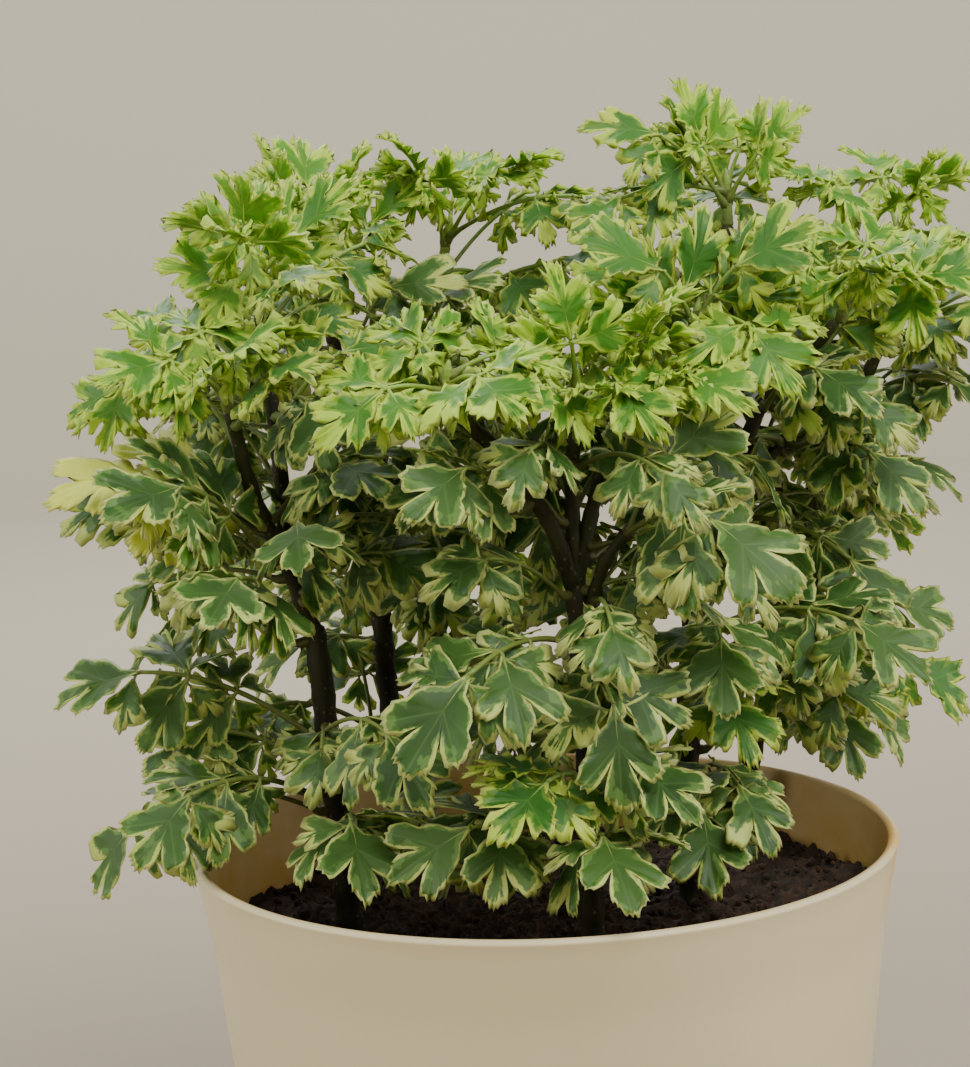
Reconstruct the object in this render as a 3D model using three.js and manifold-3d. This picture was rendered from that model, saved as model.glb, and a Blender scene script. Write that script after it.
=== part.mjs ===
// Potted aralia: a plain tapered pot, its soil, and five variegated plants with lobed leaflets.
// Millimetres, +Z up. The origin is the middle of the pot's underside, and the front looks to -Y.

import * as THREE from 'three';
import { mergeVertices } from 'three/addons/utils/BufferGeometryUtils.js';
import Module from 'manifold-3d';

const wasm = await Module();
wasm.setup();

// Pot
const rimDiameter = 150;
const potHeight = 130;
const wallThickness = 2.4;
const wallTaper = 0.107; // radius lost for each millimetre down the wall
const floorThickness = 2;
const underRecess = 2; // the floor is raised this far between the foot ring and the centre pad
const footWidth = 6;
const centrePadRadius = 13;
const lipRound = 0.7;
const lipFlare = 1.3; // the wall leans out this far at the lip
const flareHeight = 18;
const potSides = 32;
const drainRadius = 4.5;
const drainCircle = 36;
const drainCount = 4;
const drainSides = 10;

// Soil
const soilBelowRim = 17;
const soilSides = 24;
const soilRings = [0.25, 0.5, 0.75, 0.93];
const holeDepth = 13;
const holeSides = 8;
const heapHeight = 1.5;
const crumbHeight = 0.8;
const rightRise = 0.07; // slope at which the soil climbs to the right of its middle
const fitGap = 0.3;
const weld = 0.002; // corners and slivers smaller than this are merged

// Leaves
const bladeThickness = 0.8;
const rootLength = 1.7; // stretch of the rib that a side leaflet grows from
const collar = 1.7; // a rib leaves its stem squarely for this far
const fullRib = { half: 0.85, top: 0.4, keel: 0.8 };
const slimRib = { half: 0.6, top: 0.3, keel: 0.5 }; // where a rib starts inside a shoot or another rib
const junction = 0.38; // where a leaflet's lobes meet, as a share of its length
const pairSpacing = 0.62; // between pairs of leaflets, as a share of the leaf's size
const mostOfRib = 0.55; // share of the rib that the leaflets may take
const clearance = 0.35;
const lightLean = 0.8; // how far the front leaves turn their faces to the light in front
const lightDepth = 60; // leaves that end this far behind the middle don't turn

// Corners on one side of a leaflet as [degrees from the rib, share of its length], from the stalk to
// the tip. Longer leaflets are cut more: a shoulder, the side lobe, the cut and a second tooth.
const lobeSets = [
  { from: 18.5, corners: [[77, 0.31], [48, 0.54], [27, 0.29], [13, 0.48]] },
  { from: 15.7, corners: [[74, 0.31], [45, 0.54], [20, 0.30]] },
  { from: 0, corners: [[47, 0.52], [20, 0.29]] },
];
const tipReach = 0.62;
const largestTurn = 75; // degrees between the foot of a leaf and its way out

// How leaves and leaflets vary: degrees, or shares of a leaflet's length
const pitchSpread = 12;
const yawSpread = 8;
const rollSpread = 14;
const lobeSpread = 0.14;
const rippleSpread = 0.05;
const upperPairScale = 0.9; // a pair's length beside the end leaflet's
const lowerPairLoss = 0.14;
const firstDraw = 40; // draws below this one belong to the leaf, and each leaflet has its own stretch
const drawsPerLeaflet = 30;

// Leaves and leaflets that would cross another part turn away in widening steps
const turnAngle = 2.4;
const ribTries = 12;
const ribSwing = 5;
const leafletTries = 60;
const leafletSwing = 8;
const triesPerSize = 20; // then a leaflet shrinks
const shrinkStep = 0.16;
const rootWidth = 0.1; // of the leaflet that is tested, as a share of its length
const nearStem = 0.14; // a crown's ribs may touch each other below this share
const nearSiblings = 0.35; // and ribs of one node below this one
const touching = 0.05;

// Leaf kinds. Arch is a share of the rib's length, fold and droop are slopes of the blade, pitch and
// spread are degrees, and lean tilts the leaf's face away from its stem.
const kinds = {
  mature: {
    color: '#557f57', arch: 0.2, pitch: -26, fold: 0.1,
    droop: 0.16, spread: 62, lean: 0.5,
  },
  fresh: {
    color: '#6fa24a', arch: 0.16, pitch: -16, fold: 0.12,
    droop: 0.14, spread: 60, lean: 0.4,
  },
  young: {
    color: '#a3c84a', arch: 0.14, pitch: -12, fold: 0.14,
    droop: 0.14, spread: 58, lean: 0.35, ternate: true,
  },
  upright: {
    color: '#a3c84a', arch: 0.08, pitch: 6, fold: 0.16,
    droop: 0.08, spread: 52, lean: 0.1, ternate: true,
  },
  cream: {
    color: '#d9da8e', arch: 0.16, pitch: -18, fold: 0.1,
    droop: 0.14, spread: 56, lean: 0.5,
  },
};

const stemSides = 6;
const shootSides = 5;
const shootRadii = [1.5, 1.1];
const lowestOnShoot = 0.3; // share of the shoot below its first leaf
const leavesOnShoot = 0.62;
const ribGrowth = 1.15; // a rib's width at its foot
const ribTaper = 0.3;

// Woody stems: the line of each trunk and arm, and its radius at both ends
const plants = {
  left: {
    trunk: {
      path: [[-42, -12, 100.3], [-42, -12, 124], [-44, -12, 152], [-46, -12, 181]],
      radii: [3.3, 2.6],
    },
    outer: {
      path: [[-46, -12, 178], [-51, -15, 195], [-56, -18, 207], [-60, -22, 227]],
      radii: [2.1, 1.5],
    },
    inner: {
      path: [[-46, -12, 178], [-51, -8, 193], [-52, -4, 211], [-55, 0, 246]],
      radii: [2.1, 1.5],
    },
  },
  centre: {
    trunk: {
      path: [[9, -38, 100.3], [9, -38, 124], [9, -37, 159], [8, -35, 192]],
      radii: [2.9, 2.4],
    },
    leftward: {
      path: [[8, -35, 189], [3, -38, 204], [-5, -42, 217], [-15, -46, 228]],
      radii: [1.9, 1.4],
    },
    middle: {
      path: [[8, -35, 189], [8, -33, 206], [9, -31, 223]],
      radii: [1.8, 1.4],
    },
    rightward: {
      path: [[8, -35, 189], [12, -32, 205], [16, -28, 214], [21, -24, 222]],
      radii: [1.8, 1.4],
    },
    low: {
      path: [[8.6, -36, 176], [13, -38, 193], [19, -40, 202]],
      radii: [1.6, 1.2],
    },
  },
  right: {
    trunk: {
      path: [[31, 4, 100.3], [31, 4, 124], [32, 5, 160], [36, 8, 192]],
      radii: [3.1, 2.5],
    },
    top: {
      path: [[36, 8, 189], [41, 12, 210], [43, 15, 236], [44, 18, 258]],
      radii: [2.0, 1.4],
    },
    outer: {
      path: [[36, 8, 189], [44, 6, 206], [49, 2, 220], [65, -2, 238]],
      radii: [1.9, 1.4],
    },
    front: {
      path: [[33.5, 6.2, 174], [36, 2, 192], [34, -8, 209], [33, -14, 224], [34, -18, 235]],
      radii: [1.8, 1.4],
    },
    side: {
      path: [[36, 8, 186], [46, 10, 203], [55, 14, 211]],
      radii: [1.6, 1.2],
    },
  },
  back_left: {
    trunk: {
      path: [[-33, 48, 100.3], [-33, 48, 124], [-35, 47, 160], [-36, 46, 197]],
      radii: [3.0, 2.4],
    },
    outer: {
      path: [[-36, 46, 194], [-39, 46, 215], [-43, 46, 234], [-45, 46, 246]],
      radii: [1.9, 1.4],
    },
    inner: {
      path: [[-36, 46, 194], [-32, 50, 215], [-26, 54, 235], [-18, 56, 250]],
      radii: [1.9, 1.4],
    },
  },
  back_right: {
    trunk: {
      path: [[46, 45, 100.3], [46, 45, 124], [54, 48, 156], [61, 50, 183], [66, 51, 200]],
      radii: [2.8, 2.1],
    },
    outer: {
      path: [[66, 51, 197], [74, 52, 214], [82, 48, 232], [84, 44, 243]],
      radii: [1.8, 1.3],
    },
    inner: {
      path: [[61, 50, 183], [54, 57, 204], [44, 62, 226]],
      radii: [1.7, 1.3],
    },
  },
};

// Each entry is one node: leaves that share a foot on a stem, or a green shoot that ends a stem with
// the leaves of its crown. A leaf is [end of its rib, length of its end leaflet, leaflets, kind].
const foliage = [
  { on: 'centre.low', at: 1, leaves: [
    [[33, -62, 207], 21.5, 5, 'mature'],
    [[26, -46, 216], 17, 3, 'mature'],
  ] },
  { on: 'centre.trunk', at: 0.86, leaves: [
    [[-13, -68, 180], 21.5, 5, 'mature'],
    [[14, -62, 172], 19.5, 5, 'mature'],
  ] },
  { on: 'left.outer', at: 0.62, leaves: [
    [[-76, -33, 216], 20.5, 3, 'cream'],
  ] },
  { on: 'left.outer', at: 0.36, leaves: [
    [[-68, -41, 214], 19.5, 5, 'mature'],
    [[-74, -20, 206], 17, 3, 'mature'],
  ] },
  { on: 'right.front', at: 1, shoot: [35, -18, 243], leaves: [
    [[28, -27, 251], 19.5, 3, 'fresh'],
    [[42, -24, 251], 18.5, 3, 'fresh'],
    [[19, -22, 246], 16.5, 3, 'young'],
    [[44, -32, 240], 17.5, 3, 'young'],
  ] },
  { on: 'centre.middle', at: 1, shoot: [10, -33, 231], leaves: [
    [[3, -47, 233], 16.5, 3, 'young'],
    [[17, -47, 231], 16.5, 3, 'young'],
    [[9, -38, 239], 15, 3, 'young'],
  ] },
  { on: 'centre.rightward', at: 1, shoot: [22, -27, 230], leaves: [
    [[30, -42, 231], 16.5, 3, 'young'],
    [[23, -36, 239], 15.5, 3, 'young'],
    [[36, -26, 232], 15.5, 3, 'young'],
    [[14, -16, 234], 15, 3, 'young'],
  ] },
  { on: 'centre.leftward', at: 1, shoot: [-15, -47, 235], leaves: [
    [[-27, -56, 233], 16.5, 3, 'young'],
    [[-9, -60, 235], 15.5, 3, 'young'],
    [[-20, -39, 240], 15.5, 3, 'young'],
    [[-5, -41, 239], 15, 3, 'young'],
  ] },
  { on: 'left.inner', at: 1, shoot: [-55, 0, 254], leaves: [
    [[-60, -2, 252], 15.5, 3, 'upright'],
    [[-56, -10, 260], 17.5, 3, 'upright'],
    [[-47, -1, 259], 17.5, 3, 'upright'],
    [[-55, 10, 260], 15.5, 3, 'upright'],
  ] },
  { on: 'left.outer', at: 1, shoot: [-62, -24, 235], leaves: [
    [[-70, -34, 238], 16.5, 3, 'young'],
    [[-56, -36, 240], 16.5, 3, 'young'],
    [[-82, -20, 232], 15.5, 3, 'young'],
    [[-66, -14, 242], 15, 3, 'young'],
  ] },
  { on: 'right.top', at: 1, shoot: [44, 18, 267], leaves: [
    [[30, 9, 277], 16, 3, 'fresh'],
    [[51, 14, 273], 13, 3, 'upright'],
    [[39, 16, 275], 14, 3, 'upright'],
    [[24, 4, 267], 14, 3, 'fresh'],
    [[48, 28, 273], 13, 3, 'upright'],
  ] },
  { on: 'right.outer', at: 1, shoot: [67, -4, 245], leaves: [
    [[68, -17, 250], 16.5, 3, 'young'],
    [[80, -10, 247], 16.5, 3, 'young'],
    [[58, -10, 252], 15.5, 3, 'young'],
    [[72, 4, 253], 15.5, 3, 'young'],
  ] },
  { on: 'back_right.outer', at: 1, shoot: [84, 43, 251], leaves: [
    [[68, 30, 265], 16.5, 3, 'young'],
    [[86, 34, 262], 15.5, 3, 'young'],
    [[95, 34, 252], 16.5, 3, 'young'],
    [[82, 56, 265], 15.5, 3, 'young'],
  ] },
  { on: 'back_left.outer', at: 1, shoot: [-44, 46, 254], leaves: [
    [[-50, 40, 265], 16.5, 3, 'upright'],
    [[-40, 40, 264], 15.5, 3, 'upright'],
    [[-34, 48, 259], 15.5, 3, 'upright'],
    [[-48, 58, 267], 15.5, 3, 'upright'],
  ] },
  { on: 'back_left.inner', at: 1, shoot: [-16, 56, 258], leaves: [
    [[-24, 50, 267], 15.5, 3, 'young'],
    [[-5, 50, 270], 15.5, 3, 'young'],
    [[12, 42, 264], 15.5, 3, 'fresh'],
    [[-14, 68, 268], 15.5, 3, 'young'],
  ] },
  { on: 'back_right.inner', at: 1, shoot: [41, 64, 234], leaves: [
    [[30, 60, 244], 16.5, 3, 'young'],
    [[48, 58, 245], 15.5, 3, 'young'],
    [[36, 77, 242], 16.5, 3, 'young'],
    [[52, 70, 240], 16, 3, 'fresh'],
  ] },
  { on: 'right.trunk', at: 0.78, leaves: [
    [[64, -24, 179], 19.5, 5, 'mature'],
    [[36, -42, 180], 18.5, 5, 'mature'],
  ] },
  { on: 'right.side', at: 1, leaves: [
    [[70, -6, 211], 17, 5, 'mature'],
    [[72, 16, 218], 17.5, 3, 'mature'],
  ] },
  { on: 'right.side', at: 0.4, leaves: [
    [[66, -4, 188], 17.5, 5, 'mature'],
    [[62, 24, 198], 17.5, 3, 'mature'],
  ] },
  { on: 'centre.trunk', at: 0.56, leaves: [
    [[1, -60, 157], 18.5, 5, 'fresh'],
    [[18, -54, 158], 17.5, 3, 'mature'],
  ] },
  { on: 'centre.trunk', at: 0.4, leaves: [
    [[11, -60, 146], 19.5, 3, 'mature'],
    [[-14, -58, 148], 18.5, 5, 'mature'],
  ] },
  { on: 'left.trunk', at: 0.42, leaves: [
    [[-38, -46, 147], 19.5, 5, 'mature'],
    [[-26, -34, 144], 17.5, 3, 'mature'],
  ] },
  { on: 'left.trunk', at: 0.7, leaves: [
    [[-81, -24, 174], 18.4, 5, 'mature'],
    [[-30, -48, 165], 18.5, 3, 'mature'],
  ] },
  { on: 'left.trunk', at: 0.55, leaves: [
    [[-70, -40, 152], 17.5, 5, 'mature'],
    [[-86, -12, 139], 18.4, 3, 'mature'],
  ] },
  { on: 'left.trunk', at: 0.62, leaves: [
    [[-66, -20, 160], 17, 3, 'mature'],
  ] },
  { on: 'left.trunk', at: 0.95, leaves: [
    [[-57, -50, 197], 19.5, 5, 'mature'],
    [[-77, 8, 180], 17.5, 3, 'mature'],
  ] },
  { on: 'left.outer', at: 0.16, leaves: [
    [[-46, -40, 206], 18.5, 3, 'mature'],
  ] },
  { on: 'left.inner', at: 0.42, leaves: [
    [[-38, -30, 216], 17.5, 5, 'mature'],
    [[-32, -4, 208], 17.5, 3, 'mature'],
  ] },
  { on: 'left.inner', at: 0.5, leaves: [
    [[-68, 18, 222], 17.5, 3, 'mature'],
  ] },
  { on: 'left.inner', at: 0.66, leaves: [
    [[-38, -10, 236], 17, 3, 'fresh'],
    [[-44, -24, 228], 17, 3, 'mature'],
  ] },
  { on: 'left.inner', at: 0.78, leaves: [
    [[-73, 10, 243], 17, 3, 'fresh'],
  ] },
  { on: 'centre.leftward', at: 0.45, leaves: [
    [[-20, -32, 216], 18.5, 5, 'mature'],
    [[-12, -60, 218], 17, 3, 'mature'],
  ] },
  { on: 'centre.middle', at: 0.45, leaves: [
    [[2, -12, 213], 17.5, 3, 'mature'],
    [[22, -10, 218], 17, 3, 'mature'],
  ] },
  { on: 'right.trunk', at: 0.45, leaves: [
    [[32, -34, 143], 18.5, 5, 'mature'],
    [[42, -30, 144], 17, 5, 'mature'],
  ] },
  { on: 'right.trunk', at: 0.62, leaves: [
    [[38, -24, 164], 17, 3, 'fresh'],
    [[20, -16, 172], 17.5, 3, 'mature'],
  ] },
  { on: 'right.outer', at: 0.6, leaves: [
    [[58, -18, 230], 17.5, 3, 'mature'],
  ] },
  { on: 'right.front', at: 0.55, leaves: [
    [[35, -30, 229], 15.5, 3, 'mature'],
    [[24, -28, 222], 17.5, 3, 'mature'],
  ] },
  { on: 'right.outer', at: 0.7, leaves: [
    [[66, 16, 236], 17.5, 3, 'mature'],
  ] },
  { on: 'right.top', at: 0.6, leaves: [
    [[58, 20, 248], 17, 3, 'fresh'],
    [[30, 30, 246], 17.5, 3, 'mature'],
  ] },
  { on: 'right.trunk', at: 0.7, leaves: [
    [[79, 8, 163], 18.5, 3, 'fresh'],
    [[75, 0, 178], 15.5, 3, 'mature'],
  ] },
  { on: 'back_right.trunk', at: 0.5, leaves: [
    [[64, 22, 152], 17.5, 3, 'mature'],
    [[75, 42, 149], 17.5, 3, 'mature'],
  ] },
  { on: 'back_right.outer', at: 0.45, leaves: [
    [[94, 42, 220], 17.5, 3, 'mature'],
    [[84, 70, 216], 17.5, 3, 'mature'],
  ] },
  { on: 'back_right.trunk', at: 0.86, leaves: [
    [[80, 68, 190], 17.5, 3, 'mature'],
    [[50, 78, 188], 17.5, 5, 'mature'],
  ] },
  { on: 'back_right.trunk', at: 0.35, leaves: [
    [[50, 76, 150], 17.5, 3, 'mature'],
  ] },
  { on: 'back_right.inner', at: 0.5, leaves: [
    [[30, 74, 214], 17.5, 3, 'mature'],
    [[68, 78, 224], 16, 3, 'mature'],
  ] },
  { on: 'back_left.trunk', at: 0.45, leaves: [
    [[-62, 28, 154], 17.5, 3, 'mature'],
    [[-42, 58, 163], 17.5, 3, 'mature'],
  ] },
  { on: 'back_left.trunk', at: 0.55, leaves: [
    [[-15, 64, 170], 17.5, 3, 'mature'],
    [[-5, 30, 176], 17.5, 3, 'mature'],
  ] },
  { on: 'back_left.trunk', at: 0.8, leaves: [
    [[-22, 22, 192], 17.5, 3, 'mature'],
    [[-66, 52, 188], 17.5, 5, 'mature'],
  ] },
  { on: 'back_left.trunk', at: 0.92, leaves: [
    [[-4, 40, 194], 17.5, 3, 'mature'],
    [[-30, 80, 196], 17.5, 5, 'mature'],
  ] },
  { on: 'back_left.outer', at: 0.55, leaves: [
    [[-70, 38, 226], 17.5, 3, 'mature'],
    [[-30, 30, 246], 17.5, 3, 'mature'],
  ] },
  { on: 'back_left.inner', at: 0.45, leaves: [
    [[-18, 36, 244], 17.5, 3, 'mature'],
    [[-8, 74, 224], 17.5, 3, 'mature'],
  ] },
  { on: 'back_left.inner', at: 0.75, leaves: [
    [[6, 48, 249], 16, 3, 'fresh'],
    [[-4, 72, 236], 17.5, 3, 'mature'],
  ] },
];

const up = new THREE.Vector3(0, 0, 1);
const vec = (p) => new THREE.Vector3(p[0], p[1], p[2]);
const radians = THREE.MathUtils.degToRad;

// A repeatable number between 0 and 1 for each pair of counts
function draw(seed, turn) {
  const wave = Math.sin(seed * 127.1 + turn * 311.7) * 43758.5453;
  return wave - Math.floor(wave);
}

const spreadDraw = (seed, turn) => draw(seed, turn) * 2 - 1;

// Solid from points and triangles whose faces point outwards
function solidFrom(points, triangles) {
  const vertProperties = new Float32Array(points.length * 3);
  points.forEach((p, i) => p.toArray(vertProperties, i * 3));
  const triVerts = new Uint32Array(triangles.flat());
  return new wasm.Manifold(new wasm.Mesh({ numProp: 3, vertProperties, triVerts }));
}

function solidFromGeometry(geometry) {
  geometry.deleteAttribute('normal');
  geometry.deleteAttribute('uv');
  const merged = mergeVertices(geometry, 1e-4);
  const vertProperties = new Float32Array(merged.attributes.position.array);
  const corners = merged.index.array;
  const kept = [];
  for (let i = 0; i < corners.length; i += 3) {
    const [a, b, c] = [corners[i], corners[i + 1], corners[i + 2]];
    if (a !== b && b !== c && c !== a) kept.push(a, b, c);
  }
  const triVerts = new Uint32Array(kept);
  return new wasm.Manifold(new wasm.Mesh({ numProp: 3, vertProperties, triVerts }));
}

function geometryOf(solid) {
  const { vertProperties, triVerts, numProp } = solid.getMesh();
  const positions = new Float32Array((vertProperties.length / numProp) * 3);
  for (let i = 0; i < positions.length / 3; i += 1) {
    positions.set(vertProperties.subarray(i * numProp, i * numProp + 3), i * 3);
  }
  const geometry = new THREE.BufferGeometry();
  geometry.setAttribute('position', new THREE.BufferAttribute(positions, 3));
  geometry.setIndex(new THREE.BufferAttribute(new Uint32Array(triVerts), 1));
  geometry.computeVertexNormals();
  return geometry;
}

// Profile of [radius, height] turned about the Z axis
function turned(profile, sides) {
  const lathe = new THREE.LatheGeometry(profile.map(([r, z]) => new THREE.Vector2(r, z)), sides);
  lathe.rotateX(Math.PI / 2);
  return lathe;
}

function uprightCylinder(radius, height, sides) {
  return new THREE.CylinderGeometry(radius, radius, height, sides).rotateX(Math.PI / 2);
}

const wallRadius = (z) => rimDiameter / 2 - wallTaper * (potHeight - z)
  - lipFlare * Math.min((potHeight - z) / flareHeight, 1);
const innerRadius = (z) => wallRadius(z) - wallThickness;

function makePot() {
  const floorTop = underRecess + floorThickness;
  const foot = wallRadius(0) - lipRound;
  const lip = potHeight - lipRound;
  const flare = potHeight - flareHeight;
  const profile = [
    [0, 0], [centrePadRadius, 0], [centrePadRadius + 1, underRecess],
    [foot - footWidth - 1, underRecess], [foot - footWidth, 0], [foot, 0],
    [wallRadius(lipRound * 2), lipRound * 2], [wallRadius(flare), flare], [wallRadius(lip), lip],
    [wallRadius(potHeight) - lipRound, potHeight], [innerRadius(potHeight) + lipRound, potHeight],
    [innerRadius(lip), lip], [innerRadius(flare), flare], [innerRadius(floorTop), floorTop],
    [0, floorTop],
  ];
  let pot = solidFromGeometry(turned(profile, potSides));
  for (let i = 0; i < drainCount; i += 1) {
    const angle = ((i + 0.5) / drainCount) * 2 * Math.PI;
    const drill = uprightCylinder(drainRadius, floorTop * 4, drainSides);
    drill.translate(drainCircle * Math.cos(angle), drainCircle * Math.sin(angle), floorTop / 2);
    pot = pot.subtract(solidFromGeometry(drill));
  }
  return pot;
}

const soilLevel = (x) => potHeight - soilBelowRim + rightRise * Math.max(x, 0);

// Height of the crumbly soil: broad heaps crossed by smaller ones
function soilHeight(x, y) {
  const heaps = heapHeight * Math.sin(x * 0.11 + 0.7) * Math.cos(y * 0.13 - 0.4);
  const crumbs = crumbHeight * Math.sin(x * 0.37 + y * 0.21) * Math.sin(y * 0.43 - x * 0.17 + 1.1);
  return soilLevel(x) + heaps + crumbs;
}

function makeSoil() {
  const floor = underRecess + floorThickness + fitGap;
  const level = potHeight - soilBelowRim;
  const acrossFlats = Math.cos(Math.PI / potSides); // the pot's faces lie this much inside its corners
  const bottomRadius = innerRadius(floor) * acrossFlats - fitGap;
  const topRadius = innerRadius(level) * acrossFlats - fitGap;
  const rings = [...soilRings].reverse().map((share) => [topRadius * share, level]);
  const side = [[0, floor], [bottomRadius, floor], [topRadius, level]];
  const geometry = turned([...side, ...rings, [0, level]], soilSides);
  const position = geometry.attributes.position;
  for (let i = 0; i < position.count; i += 1) {
    const [x, y] = [position.getX(i), position.getY(i)];
    const inside = Math.hypot(x, y) < topRadius - 1;
    if (position.getZ(i) > level - 1) position.setZ(i, inside ? soilHeight(x, y) : soilLevel(x));
  }
  let soil = solidFromGeometry(geometry);
  for (const plant of Object.values(plants)) {
    const { path: [[x, y, z]], radii: [radius] } = plant.trunk;
    const holeRadius = (radius + fitGap) / Math.cos(Math.PI / holeSides);
    const drill = uprightCylinder(holeRadius, holeDepth * 4, holeSides);
    drill.translate(x, y, z - fitGap + holeDepth * 2);
    soil = soil.subtract(solidFromGeometry(drill));
  }
  return soil;
}

// Tapered tube along a line of points, closed at both ends
function tubeSolid(path, radii, sides) {
  const line = path.map(vec);
  const points = [];
  const triangles = [];
  let side = new THREE.Vector3(1, 0, 0);
  line.forEach((p, i) => {
    const [before, after] = [line[Math.max(i - 1, 0)], line[Math.min(i + 1, line.length - 1)]];
    const ahead = after.clone().sub(before).normalize();
    side = side.clone().addScaledVector(ahead, -side.dot(ahead)).normalize();
    const other = ahead.clone().cross(side);
    const radius = THREE.MathUtils.lerp(radii[0], radii[1], i / (line.length - 1));
    for (let k = 0; k < sides; k += 1) {
      const angle = (k / sides) * 2 * Math.PI;
      const corner = p.clone().addScaledVector(side, radius * Math.cos(angle));
      points.push(corner.addScaledVector(other, radius * Math.sin(angle)));
    }
  });
  for (let i = 0; i + 1 < line.length; i += 1) {
    for (let k = 0; k < sides; k += 1) {
      const [a, b] = [i * sides + k, i * sides + ((k + 1) % sides)];
      triangles.push([a, b, b + sides], [a, b + sides, a + sides]);
    }
  }
  const last = (line.length - 1) * sides;
  for (let k = 1; k + 1 < sides; k += 1) {
    triangles.push([0, k + 1, k], [last, last + k, last + k + 1]);
  }
  return solidFrom(points, triangles);
}

// Point, direction and radius at a share of a stem's length
function alongStem(stem, share) {
  const line = stem.path.map(vec);
  const lengths = line.slice(1).map((p, i) => p.distanceTo(line[i]));
  let left = share * lengths.reduce((a, b) => a + b, 0);
  let i = 0;
  while (i < lengths.length - 1 && left > lengths[i]) {
    left -= lengths[i];
    i += 1;
  }
  const part = Math.min(left / lengths[i], 1);
  return {
    point: line[i].clone().lerp(line[i + 1], part),
    ahead: line[i + 1].clone().sub(line[i]).normalize(),
    radius: THREE.MathUtils.lerp(stem.radii[0], stem.radii[1], (i + part) / lengths.length),
  };
}

// Frame of the rib at a share of its length. The rib rises from its foot and bends over to its end.
function ribFrame(leaf, share) {
  const { foot, bend, end, face } = leaf;
  const point = foot.clone().multiplyScalar((1 - share) ** 2)
    .addScaledVector(bend, 2 * share * (1 - share)).addScaledVector(end, share ** 2);
  const ahead = bend.clone().sub(foot).multiplyScalar(1 - share)
    .addScaledVector(end.clone().sub(bend), share).normalize();
  const left = face.clone().cross(ahead).normalize();
  return { point, ahead, left, top: ahead.clone().cross(left) };
}

// The rib of a leaf at its nth try: its end swings about the foot in widening turns
function leafTry(spec, turn) {
  const { foot, end: aim, size, leaflets, kind } = spec;
  const chord = aim.clone().sub(foot);
  const reach = chord.length();
  const across = chord.clone().cross(up).normalize();
  const above = across.clone().cross(chord).normalize();
  const swing = reach * Math.tan(radians(ribSwing * Math.sqrt(turn)));
  const end = aim.clone().addScaledVector(across, swing * Math.cos(turnAngle * turn))
    .addScaledVector(above, swing * Math.sin(turnAngle * turn));
  const bend = foot.clone().lerp(end, 0.5).addScaledVector(up, reach * kind.arch);
  const outward = new THREE.Vector3(chord.x, chord.y, 0).normalize();
  const toLight = new THREE.Vector3(0, -lightLean * THREE.MathUtils.clamp(1 - end.y / lightDepth, 0, 1), 0);
  const face = up.clone().addScaledVector(outward, kind.lean).add(toLight).normalize();
  const pairs = (leaflets - 1) / 2;
  const spacing = Math.min((pairSpacing * size) / reach, mostOfRib / pairs);
  const root = rootLength / reach;
  const stations = [];
  for (let i = pairs; i >= 1; i -= 1) {
    const from = kind.ternate ? 1 - root : 1 - i * spacing - root / 2;
    stations.push([from, from + root]);
  }
  const shares = [...(spec.collared ? [-1, 0] : [0]), stations[0][0] * 0.5, ...stations.flat(), 1];
  if (kind.ternate) shares.splice(-1);
  return { ...spec, end, bend, face, stations, shares };
}

// Frame of a leaflet at its nth try: it pitches, yaws and rolls in widening turns, and then shrinks
function leafletFrame(leaf, slot, turn) {
  const { kind, size, seed } = leaf;
  const step = turn % triesPerSize;
  const swing = leafletSwing * Math.sqrt(step);
  const shrink = 1 - shrinkStep * Math.floor(turn / triesPerSize);
  const key = firstDraw + slot.index * drawsPerLeaflet;
  const tilt = pitchSpread * spreadDraw(seed, key) + swing * Math.cos(turnAngle * step);
  const twist = yawSpread * spreadDraw(seed, key + 1) + swing * Math.sin(turnAngle * step);
  const pitch = radians(kind.pitch + tilt);
  const yaw = radians((slot.side ? kind.spread : 0) + twist);
  const roll = radians(rollSpread * spreadDraw(seed, key + 2) + (step % 2 ? 0.5 : -0.5) * swing);
  const frame = ribFrame(leaf, slot.share);
  const side = slot.side || 1;
  const level = frame.ahead.clone().multiplyScalar(Math.cos(yaw))
    .addScaledVector(frame.left, side * Math.sin(yaw));
  const ahead = level.clone().multiplyScalar(Math.cos(pitch)).addScaledVector(frame.top, Math.sin(pitch));
  const flat = frame.top.clone().multiplyScalar(Math.cos(pitch)).addScaledVector(level, -Math.sin(pitch));
  const top = flat.clone().multiplyScalar(Math.cos(roll))
    .addScaledVector(flat.clone().cross(ahead), Math.sin(roll));
  const root = frame.point.clone().addScaledVector(frame.left, slot.side * leaf.rib.half);
  return { root, ahead, top, left: top.clone().cross(ahead), length: size * slot.scale * shrink, key };
}

// Outline of a leaflet from its right side over the tip to its left, as [along, to its left, lift]
function leafletOutline(leaf, frame) {
  const { kind, seed } = leaf;
  const { corners } = lobeSets.find(({ from }) => frame.length >= from);
  const half = (side) => corners.map(([angle, share], i) => {
    const turn = frame.key + 5 + i + (side > 0 ? 10 : 0);
    const reach = share * frame.length * (1 + lobeSpread * spreadDraw(seed, turn));
    const along = junction * frame.length + reach * Math.cos(radians(angle));
    const ripple = rippleSpread * frame.length * spreadDraw(seed, turn + 4);
    return [along, side * reach * Math.sin(radians(angle)), ripple];
  });
  const tip = [(junction + tipReach) * frame.length, 0, 0];
  const outline = [...half(-1), tip, ...half(1).reverse()];
  const liftAt = (x, y) => kind.fold * Math.abs(y) - (kind.droop * x * x) / frame.length;
  return outline.map(([x, y, ripple]) => [x, y, ripple + liftAt(x, y)]);
}

const bladePoint = (frame, [x, y, lift], offset) => frame.root.clone().addScaledVector(frame.ahead, x)
  .addScaledVector(frame.left, y).addScaledVector(frame.top, lift + offset);

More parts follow.
